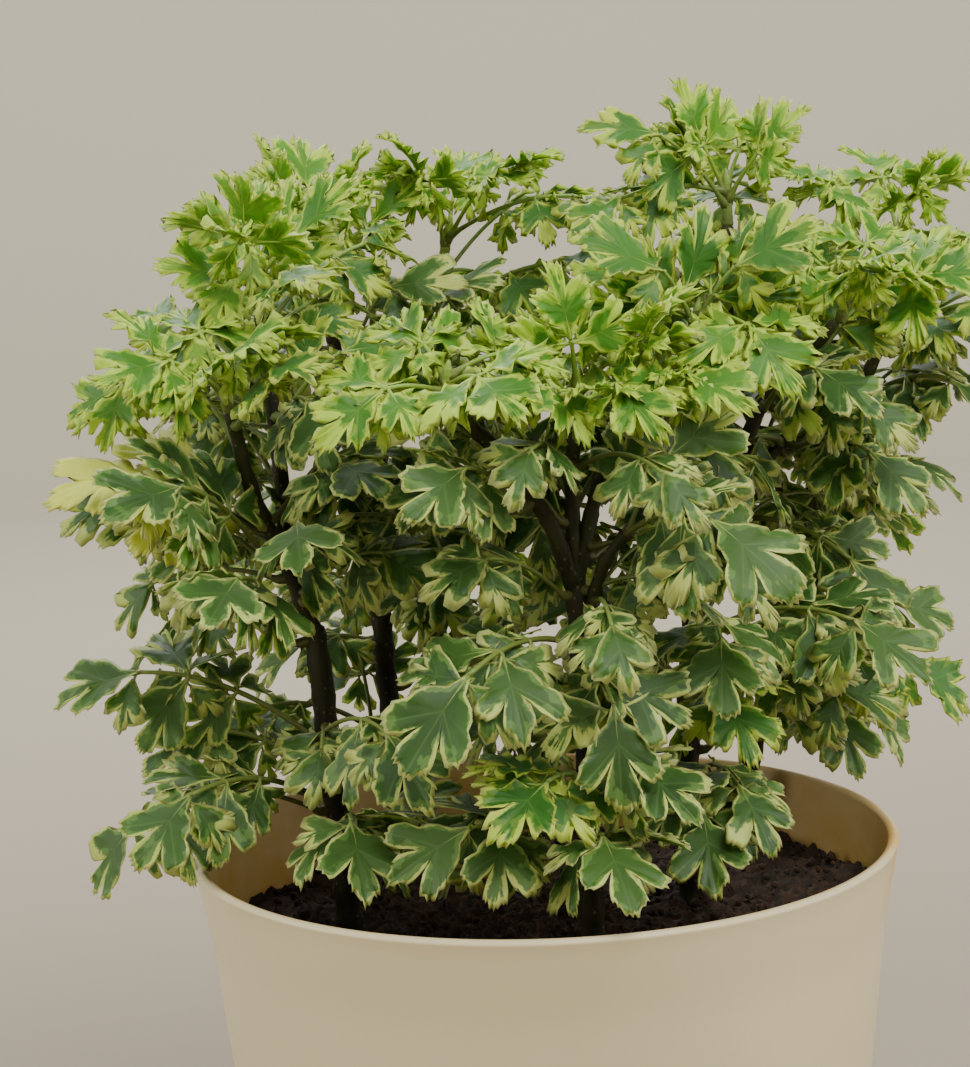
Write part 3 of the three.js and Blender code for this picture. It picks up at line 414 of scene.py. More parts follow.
# Lines of the trunks and arms, with the radius at both ends, as in the solids
stemPaths = {
    "left": {
        "trunk": ([(-42, -12, 100.3), (-42, -12, 124), (-44, -12, 152), (-46, -12, 181)], (3.3, 2.6)),
        "outer": ([(-46, -12, 178), (-51, -15, 195), (-56, -18, 207), (-60, -22, 227)], (2.1, 1.5)),
        "inner": ([(-46, -12, 178), (-51, -8, 193), (-52, -4, 211), (-55, 0, 246)], (2.1, 1.5)),
    },
    "centre": {
        "trunk": ([(9, -38, 100.3), (9, -38, 124), (9, -37, 159), (8, -35, 192)], (2.9, 2.4)),
        "leftward": ([(8, -35, 189), (3, -38, 204), (-5, -42, 217), (-15, -46, 228)], (1.9, 1.4)),
        "middle": ([(8, -35, 189), (8, -33, 206), (9, -31, 223)], (1.8, 1.4)),
        "rightward": ([(8, -35, 189), (12, -32, 205), (16, -28, 214), (21, -24, 222)], (1.8, 1.4)),
        "low": ([(8.6, -36, 176), (13, -38, 193), (19, -40, 202)], (1.6, 1.2)),
    },
    "right": {
        "trunk": ([(31, 4, 100.3), (31, 4, 124), (32, 5, 160), (36, 8, 192)], (3.1, 2.5)),
        "top": ([(36, 8, 189), (41, 12, 210), (43, 15, 236), (44, 18, 258)], (2.0, 1.4)),
        "outer": ([(36, 8, 189), (44, 6, 206), (49, 2, 220), (65, -2, 238)], (1.9, 1.4)),
        "front": ([(33.5, 6.2, 174), (36, 2, 192), (34, -8, 209), (33, -14, 224), (34, -18, 235)],
                  (1.8, 1.4)),
        "side": ([(36, 8, 186), (46, 10, 203), (55, 14, 211)], (1.6, 1.2)),
    },
    "back_left": {
        "trunk": ([(-33, 48, 100.3), (-33, 48, 124), (-35, 47, 160), (-36, 46, 197)], (3.0, 2.4)),
        "outer": ([(-36, 46, 194), (-39, 46, 215), (-43, 46, 234), (-45, 46, 246)], (1.9, 1.4)),
        "inner": ([(-36, 46, 194), (-32, 50, 215), (-26, 54, 235), (-18, 56, 250)], (1.9, 1.4)),
    },
    "back_right": {
        "trunk": ([(46, 45, 100.3), (46, 45, 124), (54, 48, 156), (61, 50, 183), (66, 51, 200)],
                  (2.8, 2.1)),
        "outer": ([(66, 51, 197), (74, 52, 214), (82, 48, 232), (84, 44, 243)], (1.8, 1.3)),
        "inner": ([(61, 50, 183), (54, 57, 204), (44, 62, 226)], (1.7, 1.3)),
    },
}


# Soil surface: the heaps, and on them sharp-crested waves in random directions; it rises a little
# against each stem. Its side follows the pot's inner wall.
def crumbledHeight(x, y, rng):
    height = soilHeight(x, y)
    for length in np.geomspace(soil["longest"], soil["shortest"], soil["waves"]):
        turn, start = rng.uniform(0, 2 * math.pi, 2)
        wave = np.sin((x * math.cos(turn) + y * math.sin(turn)) * 2 * math.pi / length + start)
        relief = soil["relief"] * (length / soil["longest"]) ** soil["flattens"]
        height = height + relief * (0.5 - np.abs(wave))
    for plant in stemPaths.values():
        (footX, footY, _), radius = plant["trunk"][0][0], plant["trunk"][1][0]
        apart = np.maximum(np.hypot(x - footX, y - footY) - radius, 0)
        height = height + soil["collar"] * np.exp(-(apart / soil["collarWidth"]) ** 2)
    return height


rng = np.random.default_rng(soil["seed"])
topRadius = innerRadius(soil["level"]) - soil["gap"]
share = np.linspace(0, 1, soil["rings"] + 1)[1:]
angle = around(soil["columns"])
edgeRadius = innerRadius(soilLevel(topRadius * np.cos(angle))) - soil["gap"]
x, y = np.outer(share, np.cos(angle) * edgeRadius), np.outer(share, np.sin(angle) * edgeRadius)
z = crumbledHeight(x, y, rng)
depth = np.array((soil["sideTop"], soil["sideMiddle"], soil["bottom"]))
sideRadius = innerRadius(depth) - soil["gap"]
side = np.stack([np.outer(sideRadius, np.cos(angle)), np.outer(sideRadius, np.sin(angle)),
                 np.repeat(depth[:, None], soil["columns"], 1)], -1)
points, faces = closedSurface(
    (0, 0, z[0].mean()), np.concatenate([np.stack([x, y, z], -1), side]), (0, 0, soil["bottom"]))
bed = Gatherer()
bed.add(points, faces[:, ::-1])  # its rings run downwards

# Crumbs: the corners of an icosahedron pushed in and out, squashed, turned and scattered on the soil
golden = (1 + 5 ** 0.5) / 2
corners = unit(np.array([(-1, golden, 0), (1, golden, 0), (-1, -golden, 0), (1, -golden, 0),
                         (0, -1, golden), (0, 1, golden), (0, -1, -golden), (0, 1, -golden),
                         (golden, 0, -1), (golden, 0, 1), (-golden, 0, -1), (-golden, 0, 1)]))
crumbFaces = np.array([(0, 11, 5), (0, 5, 1), (0, 1, 7), (0, 7, 10), (0, 10, 11), (1, 5, 9), (5, 11, 4),
                       (11, 10, 2), (10, 7, 6), (7, 1, 8), (3, 9, 4), (3, 4, 2), (3, 2, 6), (3, 6, 8),
                       (3, 8, 9), (4, 9, 5), (2, 4, 11), (6, 2, 10), (8, 6, 7), (9, 8, 1)])
count = soil["lumps"]
size = soil["smallest"] + soil["larger"] * rng.random(count) ** 3
out = (topRadius - soil["lumpInset"]) * np.sqrt(rng.random(count))
turn = rng.uniform(0, 2 * math.pi, count)
middle = np.stack([out * np.cos(turn), out * np.sin(turn), np.zeros(count)], 1)
middle[:, 2] = soilHeight(middle[:, 0], middle[:, 1]) + rng.uniform(*soil["sits"], count)
bumpy = corners * rng.uniform(*soil["dents"], (count, 12, 1)) \
    * rng.uniform(*soil["squash"], (count, 1, 3))
crumbs = middle[:, None] + bumpy * size[:, None, None]
bed.add(crumbs.reshape(-1, 3), (crumbFaces + 12 * np.arange(count)[:, None, None]).reshape(-1, 3))

# Bark fibres: short bent tubes that lie on the soil
for _ in range(soil["fibres"]):
    out = (topRadius - soil["fibreInset"]) * math.sqrt(rng.random())
    turn = rng.uniform(0, 2 * math.pi)
    heading, length = rng.uniform(0, 2 * math.pi), rng.uniform(*soil["fibreLength"])
    step = np.linspace(-0.5, 0.5, len(soil["fibreRadii"])) * length
    x = out * math.cos(turn) + step * math.cos(heading) + soil["fibreBend"] * step ** 2
    y = out * math.sin(turn) + step * math.sin(heading)
    z = soilHeight(x, y) + soil["fibreLift"] + soil["fibreArch"] * step ** 2
    bed.add(*tubeSurface(np.stack([x, y, z], 1), soil["fibreRadii"], 5, upward))
soilPiece = bed.piece("soil_bed", [pottingMix])
fit(soilPiece, "soil")

# Woody stems
print("stems")
bark = {
    "sides": 14, "perSpan": 16, "scarGap": 6.5, "scar": 0.22, "scarWidth": 0.09, "scarShift": 1.7,
    "waver": 0.08, "waverRate": 0.9, "lobes": 0.05, "twist": 0.35, "steep": 14,
    "width": 0.9, "dark": "#1b190a", "brown": "#2c2810", "green": "#3f4618", "lenticel": "#6f6840",
}

# Young bark: dark brown and slightly glossy, greener towards the top, streaked along the stem and
# freckled with pale lenticels
youngBark, tree = newMaterial("young bark")
place = addNode(tree, "TexCoord").outputs["Object"]
height = addNode(tree, "SeparateXYZ", {"Vector": place}).outputs["Z"]
lengthened = addNode(tree, "Mapping", {"Vector": place, "Scale": (1.0, 1.0, 0.16)})
streaks = addNode(tree, "TexNoise", {"Vector": lengthened, "Scale": 700.0, "Detail": 4.0})
patches = addNode(tree, "TexNoise", {"Vector": lengthened, "Scale": 260.0})
greenHigh = addNode(tree, "MapRange", {
    "Value": height, "From Min": 0.15, "From Max": 0.25, "To Min": 0.1, "To Max": 0.75})
patchShare = addNode(tree, "MapRange", {"Value": patches, "From Min": 0.4, "From Max": 0.65})
greenShare = addNode(tree, "Math", {0: greenHigh, 1: patchShare}, operation="MULTIPLY")
freckles = addNode(tree, "TexVoronoi", {"Vector": place, "Scale": 520.0})
freckleShare = addNode(tree, "MapRange", {  # spots about 0.5 mm across
    "Value": freckles, "From Min": 0.2, "From Max": 0.1, "To Max": 0.6})
tone = laidOver(tree, bark["dark"], [
    (streaks, 0.38, 0.66, 1.0, bark["brown"]),
    (greenShare, 0.0, 1.0, 1.0, bark["green"]),
    (freckleShare, 0.0, 1.0, 1.0, bark["lenticel"]),
])
raised = addNode(tree, "Math", {0: streaks, 1: freckleShare})
bump = addNode(tree, "Bump", {"Height": raised, "Strength": 0.5, "Distance": 0.0003})
shader = addNode(tree, "BsdfPrincipled", {
    "Base Color": tone, "Roughness": 0.62, "Specular IOR Level": 0.25, "Normal": bump})
addNode(tree, "OutputMaterial", {"Surface": shader})


# Stem: a tapering tube on a smooth line, with three low lobes that twist along it, a ring raised at
# each leaf scar and a slow waver in its radius; the far end closes in a dome
def woodySurface(path, radii, number):
    line = smoothLine(path, bark["perSpan"])
    gone = runLength(line)
    share = np.linspace(0, 1, len(line))
    radius = bark["width"] * (radii[0] + (radii[1] - radii[0]) * share)
    scar = (gone + bark["scarShift"] * number) / bark["scarGap"] % 1
    radius = radius * (1 + bark["waver"] * np.sin(gone * bark["waverRate"] + number)) \
        + bark["scar"] * np.exp(-((scar - 0.5) / bark["scarWidth"]) ** 2)
    lobes = 1 + bark["lobes"] * np.sin(3 * around(bark["sides"])[None] + gone[:, None] * bark["twist"])
    dome = np.sqrt(np.clip((gone[-1] - gone) / radii[1], 0, 1))[:, None]
    alongX = abs(path[-1][1] - path[0][1]) < bark["steep"]
    reference = np.array((0.0, 1.0, 0.0) if alongX else (1.0, 0.0, 0.0))
    return tubeSurface(line, radius[:, None] * lobes * np.maximum(dome, 0.05), bark["sides"], reference)


for plantNumber, (plant, arms) in enumerate(stemPaths.items()):
    wooden = Gatherer()
    for armNumber, (path, radii) in enumerate(arms.values()):
        wooden.add(*woodySurface(path, radii, plantNumber * 5 + armNumber))
    stemPiece = wooden.piece(plant + "_stem_bark", [youngBark])
    fit(stemPiece, plant + "_stem")

# Leaves
print("leaf materials")

# Arch, pitch, droop, spread and lean repeat the solids' values. The other sizes are in millimetres:
# a ruffle and a tooth are heights, and a margin is a width.
kinds = {
    "mature": {
        "arch": 0.2, "pitch": -26, "fold": 0.15, "droop": 0.16, "spread": 62, "lean": 0.5,
        "ruffle": 0.6, "tooth": 0.8, "margin": 0.66, "tipMargin": 1.6, "slot": "leaf_mature",
        "deep": "#244213", "middle": "#315318", "light": "#436421", "band": "#5b7b38",
        "vein": "#557c37", "below": "#5f7a38", "cream": "#b4c564", "warm": "#a9b455", "rim": "#c6d47a",
    },
    "fresh": {
        "arch": 0.16, "pitch": -16, "fold": 0.2, "droop": 0.14, "spread": 60, "lean": 0.4,
        "ruffle": 1.2, "tooth": 1.2, "margin": 0.8, "tipMargin": 1.7, "slot": "leaf_fresh",
        "deep": "#275617", "middle": "#35691b", "light": "#4a7c24", "band": "#62842f",
        "vein": "#66893a", "below": "#5f7a30", "cream": "#b3c945", "warm": "#a1b83a", "rim": "#c4d85c",
    },
    "young": {
        "arch": 0.14, "pitch": -12, "fold": 0.2, "droop": 0.14, "spread": 58, "lean": 0.35,
        "ruffle": 1.6, "tooth": 1.6, "margin": 1.05, "tipMargin": 1.8, "slot": "leaf_young",
        "deep": "#2f6114", "middle": "#40771b", "light": "#5e9422", "band": "#7ca02c",
        "vein": "#7aa02e", "below": "#6c862a", "cream": "#b2d03f", "warm": "#9fc034", "rim": "#c2de58",
    },
    # the upright kind's tones are lighter than the young kind's: painted backlight on crown leaves that
    # face away from the lamps
    "upright": {
        "arch": 0.08, "pitch": 6, "fold": 0.26, "droop": 0.08, "spread": 52, "lean": 0.1,
        "ruffle": 1.6, "tooth": 1.6, "margin": 0.95, "tipMargin": 1.8, "slot": "leaf_young",
        "deep": "#356715", "middle": "#488019", "light": "#6ca024", "band": "#88ac32",
        "vein": "#80a832", "below": "#70902c", "cream": "#b9d54a", "warm": "#a6c63e", "rim": "#c8e062",
    },
    "cream": {
        "arch": 0.16, "pitch": -18, "fold": 0.1, "droop": 0.14, "spread": 56, "lean": 0.5,
        "ruffle": 0.6, "tooth": 1.1, "margin": 5.5, "tipMargin": 3.0, "slot": "leaf_cream",
        "deep": "#8fab44", "middle": "#abc050", "light": "#bdca58", "band": "#c6cd76",
        "vein": "#ced27a", "below": "#b6c05c", "cream": "#cdd659", "warm": "#c0c84c", "rim": "#dae276",
    },
}
ternate = ("young", "upright")
leafFields = ["rim", "vein", "margin", "tint", "below", "along"]

# Waxy leaf tissue, variegated: green in the middle, clouded, a little paler along the veins, then a
# greyer band, and an uneven cream margin with a lighter rim; paler below. The blade is thin enough
# to let some light through. The fields come with the mesh: millimetres from the rim and from the
# nearest vein, the margin's width there, a tint for the leaflet, and 1 on its lower face.
def leafTissue(name, tone):
    material, tree = newMaterial(name)
    place = addNode(tree, "TexCoord").outputs["Object"]
    field = {label: addNode(tree, "Attribute", attribute_name=label).outputs["Fac"]
             for label in leafFields}
    jag, clouds, patches, cells = (
        addNode(tree, "TexNoise", {"Vector": place, "Scale": scale, "Detail": detail})
        for scale, detail in ((1000.0, 2.0), (150.0, 3.0), (330.0, 1.0), (1400.0, 3.0)))
    inward = addNode(tree, "Math", {0: field["rim"], 1: field["margin"]}, operation="SUBTRACT")
    uneven = addNode(tree, "Math", {0: jag, 1: 0.7, 2: inward}, operation="MULTIPLY_ADD")
    bandEdge = addNode(tree, "Math", {0: patches, 1: -4.0, 2: uneven}, operation="MULTIPLY_ADD")
    veinShare = addNode(tree, "MapRange", {
        "Value": field["vein"], "From Min": 0.32, "From Max": 0.04, "To Max": 0.3})
    cream = laidOver(tree, tone["cream"], [(clouds, 0.35, 0.65, 1.0, tone["warm"])])
    color = laidOver(tree, tone["deep"], [
        (clouds, 0.35, 0.65, 1.0, tone["middle"]),
        (field["tint"], 0.0, 1.0, 0.6, tone["light"]),
        (bandEdge, -1.0, -1.3, 0.75, tone["band"]),
        (veinShare, 0.0, 1.0, 1.0, tone["vein"]),
        (field["below"], 0.0, 1.0, 0.55, tone["below"]),
        (uneven, 0.47, 0.23, 1.0, cream),
        (field["rim"], 0.45, 0.05, 0.55, tone["rim"]),
    ])
    raised = addNode(tree, "Math", {0: cells, 1: 0.35, 2: veinShare}, operation="MULTIPLY_ADD")
    bump = addNode(tree, "Bump", {"Height": raised, "Strength": 0.35, "Distance": 0.00025})
    gloss = addNode(tree, "MapRange", {"Value": clouds, "To Min": 0.45, "To Max": 0.62})
    shader = addNode(tree, "BsdfPrincipled", {
        "Base Color": color, "Roughness": gloss, "IOR": 1.42, "Normal": bump,
        "Subsurface Weight": 0.28, "Subsurface Radius": (0.5, 0.9, 0.15), "Subsurface Scale": 0.0015})
    addNode(tree, "OutputMaterial", {"Surface": shader})
    return material


# Green stalk, soft and slightly glossy: brown where it leaves the wood, olive, and paler at its end
def greenStalk(name, colors):
    material, tree = newMaterial(name)
    place = addNode(tree, "TexCoord").outputs["Object"]
    along = addNode(tree, "Attribute", attribute_name="along").outputs["Fac"]
    speckle = addNode(tree, "TexNoise", {"Vector": place, "Scale": 900.0, "Detail": 3.0})
    blurred = addNode(tree, "Math", {0: speckle, 1: 0.3, 2: along}, operation="MULTIPLY_ADD")
    color = laidOver(tree, colors[0], [
        (blurred, 0.12, 0.45, 1.0, colors[1]),
        (blurred, 0.5, 1.1, 1.0, colors[2]),
    ])
    bump = addNode(tree, "Bump", {"Height": speckle, "Strength": 0.3, "Distance": 0.0002})
    shader = addNode(tree, "BsdfPrincipled", {
        "Base Color": color, "Roughness": 0.45, "IOR": 1.42, "Normal": bump,
        "Subsurface Weight": 0.15, "Subsurface Radius": (0.5, 0.8, 0.2), "Subsurface Scale": 0.0012})
    addNode(tree, "OutputMaterial", {"Surface": shader})
    return material


tissues = {name: leafTissue(name + " variegated leaf", kind) for name, kind in kinds.items()}
stalks = {name: greenStalk(name + " green stalk", colors) for name, colors in {
    "mature": ("#45401f", "#64702f", "#849a48"),
    "fresh": ("#55602c", "#7b9442", "#9cba5e"),
    "young": ("#4d4720", "#7d9a36", "#a6c850"),
    "cream": ("#5c5c30", "#9aa552", "#cdd384"),
}.items()}
stalks["upright"] = stalks["young"]

rib = {
    "full": (0.85, 0.4, 0.8), "slim": (0.6, 0.3, 0.5),  # half width, top and keel, as in the solids
    "growth": 1.15, "taper": 0.3, "root": 1.7, "collar": 1.7,
    "pairSpacing": 0.62, "mostOfRib": 0.55, "lightLean": 0.8, "lightDepth": 60.0,
    "tries": 12, "swing": 5.0, "turnAngle": 2.4,
    "sides": 8, "thick": 0.68, "thin": 0.44, "flare": 0.6, "flareLength": 1.8, "sunk": 0.15,
    "inset": 0.05, "shares": (0.1, 0.28, 0.46, 0.64, 0.82, 1.0),
}
leaflet = {
    "junction": 0.38, "tries": 60, "triesPerSize": 20, "shrink": 0.16, "swing": 8.0,
    "pitch": 12.0, "yaw": 8.0, "roll": 14.0, "lobe": 0.14, "ripple": 0.05, "solidHalf": 0.4,
    "upperPair": 0.9, "lowerLoss": 0.14, "firstDraw": 40, "draws": 30,
    "lowerLevels": (0.68,), "upperLevels": (1.0, 0.86, 0.5), "half": 0.17, "stalk": 0.34,
    "cutDepth": (0.52, 0.92), "broader": 1.1, "steep": 3.2, "bow": 0.075,
    "groove": 0.12, "grooveWidth": 0.55, "ruffleLength": 5.4, "curl": 0.34, "curlFrom": 0.3,
    "curlVaries": 0.9, "foldRound": 0.4, "tipOver": 0.5, "tipFade": 2.6, "larger": 1.06,
    "sideRise": 0.85, "footShares": (0, 0.35, 0.62, 0.84), "heel": (27, 0.66, 0.6),
    "shoulder": (0.5, 0.84), "toothHeight": (0.35, 0.03), "toothRange": (0.4, 1.25),
    "ruffleFades": (0.6, 0.4, 5.0), "marginWanders": (0.72, 0.35, 1.7, 4.3), "sameCorner": 0.03,
    "stalkShares": (0.0, 0.1, 0.22, 0.38, 0.55, 0.72), "stalkRadius": 0.5, "stalkNarrows": 0.4,
    "stalkSides": 6, "stalkBelow": 0.1,
}
# The smaller pair beside a leaflet: its angles as (mean, spread) in degrees, its length and place as
# shares of the leaflet's
sidePair = {
    "yaw": (76, 10), "pitch": (-24, 9), "roll": 14, "length": (0.5, 0.72), "at": 0.08,
    "ahead": 1.2, "lower": 0.3, "foot": 1.4, "firstDraw": 500,
}
# Corners on one side of a leaflet as (degrees from its rib, share of its length), by length
lobeSets = [
    (18.5, [(77, 0.31), (48, 0.54), (27, 0.29), (13, 0.48)]),
    (15.7, [(74, 0.31), (45, 0.54), (20, 0.30)]),
    (0, [(47, 0.52), (20, 0.29)]),
]
# Edges of one side of the fine outline, past its foot: each has the shares at which it is sampled, and
# the height there of the small points that stand on it, as a share of a tooth
edges = {
    "side": ((0, 0.15, 0.3, 0.44, 0.57, 0.7, 0.82, 0.92), (0.2, 0, 0.7, -0.2, -0.1, 0.8, 0.6, -0.3)),
    "fall": ((0, 0.13, 0.27, 0.42, 0.58, 0.74, 0.88), (0.8, -0.3, -0.1, 0.7, 0.4, -0.1, 0)),
    "rise": ((0, 0.16, 0.32, 0.48, 0.64, 0.78, 0.9), (0, 0, 0.1, 0, 0.6, -0.3, -0.1)),
    "end": ((0, 0.17, 0.34, 0.5, 0.66, 0.83), (0.8, -0.3, -0.2, 0.8, 0.7, -0.3)),
}


def draw(seed, turn):  # a repeatable number from 0 to 1, as in the solids: the decimals of a sine
    wave = math.sin(seed * 127.1 + turn * 311.7) * 43758.5453
    return wave - math.floor(wave)


def spreadDraw(seed, turn):
    return draw(seed, turn) * 2 - 1


# Point, direction and radius at a share of a stem's length
def alongStem(path, radii, share):
    line = np.array(path, float)
    steps = np.linalg.norm(np.diff(line, axis=0), axis=1)
    left = share * steps.sum()
    i = 0
    while i < len(steps) - 1 and left > steps[i]:
        left -= steps[i]
        i += 1
    part = min(left / steps[i], 1)
    point = line[i] + (line[i + 1] - line[i]) * part
    radius = radii[0] + (radii[1] - radii[0]) * (i + part) / len(steps)
    return point, unit(line[i + 1] - line[i]), radius


# Frame of a rib at a share of its length: a quadratic curve from foot over bend to end
def ribFrame(leaf, share):
    foot, bend, end = leaf["foot"], leaf["bend"], leaf["end"]
    point = foot * (1 - share) ** 2 + bend * 2 * share * (1 - share) + end * share ** 2
    ahead = unit((bend - foot) * (1 - share) + (end - bend) * share)
    left = unit(np.cross(leaf["face"], ahead))
    return point, ahead, left, np.cross(ahead, left)


# The rib at its nth try: its end swings about the foot in widening turns, as in the solids
def ribTry(spec, turn):
    kind, foot = kinds[spec["kind"]], spec["foot"]
    chord = spec["aim"] - foot
    reach = np.linalg.norm(chord)
    across = unit(np.cross(chord, upward))
    above = unit(np.cross(across, chord))
    swing = reach * math.tan(math.radians(rib["swing"] * math.sqrt(turn)))
    end = spec["aim"] + across * swing * math.cos(rib["turnAngle"] * turn) \
        + above * swing * math.sin(rib["turnAngle"] * turn)
    bend = (foot + end) / 2 + upward * reach * kind["arch"]
    toLight = -rib["lightLean"] * min(max(1 - end[1] / rib["lightDepth"], 0), 1)
    face = unit(upward + unit(chord * (1, 1, 0)) * kind["lean"] + (0, toLight, 0))
    pairs = (spec["leaflets"] - 1) // 2
    spacing = min(rib["pairSpacing"] * spec["size"] / reach, rib["mostOfRib"] / pairs)
    root = rib["root"] / reach
    stations = [1 - root if spec["kind"] in ternate else 1 - i * spacing - root / 2
                for i in range(pairs, 0, -1)]
    return {**spec, "end": end, "bend": bend, "face": face, "across": across,
            "stations": [(start, start + root) for start in stations]}


# Corners of the rib half way to its first pair, which tell the try that the solid took
def ribCorners(leaf):
    share = leaf["stations"][0][0] / 2
    point, _, left, top = ribFrame(leaf, share)
    halfWidth, rise, keel = leaf["rib"]
    halfWidth *= rib["growth"] - rib["taper"] * share
    return np.stack([point + top * rise + left * halfWidth, point + top * rise - left * halfWidth,
                     point - top * keel])


# Direction and upper side of a frame that yaws by an angle towards its left, pitches up and rolls
def turned(ahead, left, top, yaw, pitch, roll):
    level = ahead * math.cos(yaw) + left * math.sin(yaw)
    flat = top * math.cos(pitch) - level * math.sin(pitch)
    ahead = level * math.cos(pitch) + top * math.sin(pitch)
    return ahead, flat * math.cos(roll) + np.cross(flat, ahead) * math.sin(roll)


# Frame of a leaflet at its nth try: it pitches, yaws and rolls in widening turns, and then shrinks
def leafletTry(leaf, slot, turn):
    index, side, share, scale = slot
    kind, seed = kinds[leaf["kind"]], leaf["seed"]
    step = turn % leaflet["triesPerSize"]
    swing = leaflet["swing"] * math.sqrt(step)
    shrink = 1 - leaflet["shrink"] * (turn // leaflet["triesPerSize"])
    key = leaflet["firstDraw"] + index * leaflet["draws"]
    angle = rib["turnAngle"] * step
    pitch = math.radians(kind["pitch"] + leaflet["pitch"] * spreadDraw(seed, key)
                         + swing * math.cos(angle))
    yaw = math.radians((kind["spread"] if side else 0) + leaflet["yaw"] * spreadDraw(seed, key + 1)
                       + swing * math.sin(angle))
    roll = math.radians(leaflet["roll"] * spreadDraw(seed, key + 2) + (0.5 if step % 2 else -0.5) * swing)
    point, ribAhead, ribLeft, ribTop = ribFrame(leaf, share)
    ahead, top = turned(ribAhead, ribLeft * (side or 1), ribTop, yaw, pitch, roll)
    solid = leaf["size"] * scale * shrink
    return {"root": point + ribLeft * side * leaf["rib"][0], "from": point, "ahead": ahead, "top": top,
            "left": np.cross(top, ahead), "solid": solid, "length": solid * leaflet["larger"],
            "key": key, "droop": kind["droop"]}


def tipCorners(frameOf):  # the solid leaflet's tip, on its two faces
    length = frameOf["solid"]
    tip = frameOf["root"] + frameOf["ahead"] * length - frameOf["top"] * frameOf["droop"] * length
    return tip + frameOf["top"] * np.array((leaflet["solidHalf"], -leaflet["solidHalf"]))[:, None]


# The first of some tries whose corners are all corners of the solid, or None
def matching(tries, cornersOf, solid):
    for tried in tries:
        apart = np.linalg.norm(solid[None] - cornersOf(tried)[:, None], axis=2)
        if (apart.min(1) < leaflet["sameCorner"]).all():
            return tried
    return None


# Distance in millimetres from each point of a grid to the nearest of some straight lines
def lineDistance(x, y, starts, ends):
    along = ends - starts
    px, py = x[..., None] - starts[:, 0], y[..., None] - starts[:, 1]
    share = np.clip((px * along[:, 0] + py * along[:, 1]) / (along ** 2).sum(1), 0, 1)
    return np.hypot(px - share * along[:, 0], py - share * along[:, 1]).min(-1)


# The four corners of one side of a leaflet, as (degrees, radius, lift), from the solid's: the heel and
# the broad end of its side lobe, the cut, and the shoulder of its end lobe. A short leaflet has fewer
# corners in the solid, and its heel and shoulder are worked out from its lobe and its cut.
def fineCorners(solid, tip, deeper):
    heel, lobe, cut, shoulder = (solid + [None] * 2)[:4]
    if shoulder is None:
        if cut is None:
            heel, lobe, cut = None, heel, lobe
        inward, reach = leaflet["shoulder"]
        shoulder = (cut[0] * inward, tip * reach, cut[2] * inward)
    if heel is None:
        back, reach, lift = leaflet["heel"]
        heel = (lobe[0] + back, lobe[1] * reach, lobe[2] * lift)
    cut = (cut[0], cut[1] * deeper, cut[2])
    return heel, lobe, cut, (shoulder[0], shoulder[1] * leaflet["broader"], shoulder[2])


# One side of the outline, from the stalk to just before the tip, about the junction of the lobes.
# From the stalk to the heel it is an S. On the later edges the angle runs evenly, and the radius runs
# out to the side lobe's end as a quarter of a sine, steeply into the cut and out of it as powers,
# and evenly to the tip. Small points stand on the ends of the lobes.
def sideOutline(corners, tip, length, height, every, rng):
    heel, lobe, cut, shoulder = corners
    middle = np.array((leaflet["junction"] * length, 0.0))
    start = np.array((0.0, leaflet["stalk"]))
    turn = math.radians(heel[0])
    stop = middle + heel[1] * np.array((math.cos(turn), math.sin(turn)))
    share = np.array(leaflet["footShares"])[::every, None]
    across = unit(np.array((start[1] - stop[1], stop[0] - start[0])))
    bow = leaflet["bow"] * np.linalg.norm(stop - start)
    outline = [start + (stop - start) * share - across * bow * np.sin(2 * math.pi * share)]
    lifts = [heel[2] * share[:, 0]]
    shapes = {
        "side": (heel, lobe, lambda u: np.sin(u * math.pi / 2) ** leaflet["sideRise"]),
        "fall": (lobe, cut, lambda u: u ** leaflet["steep"]),
        "rise": (cut, shoulder, lambda u: 1 - (1 - u) ** leaflet["steep"]),
        "end": (shoulder, (0, tip, 0), lambda u: u),
    }
    for name, (near, far, run) in shapes.items():
        u, teeth = (np.array(values)[::every] for values in edges[name])
        angle = np.radians(near[0] + (far[0] - near[0]) * u)
        teeth = teeth * rng.uniform(*leaflet["toothRange"], len(u)) * height
        radius = near[1] + (far[1] - near[1]) * run(u) + teeth
        outline.append(middle + radius[:, None] * np.stack([np.cos(angle), np.sin(angle)], 1))
        lifts.append(near[2] + (far[2] - near[2]) * u)
    return np.concatenate(outline), np.concatenate(lifts), outline[2][0]


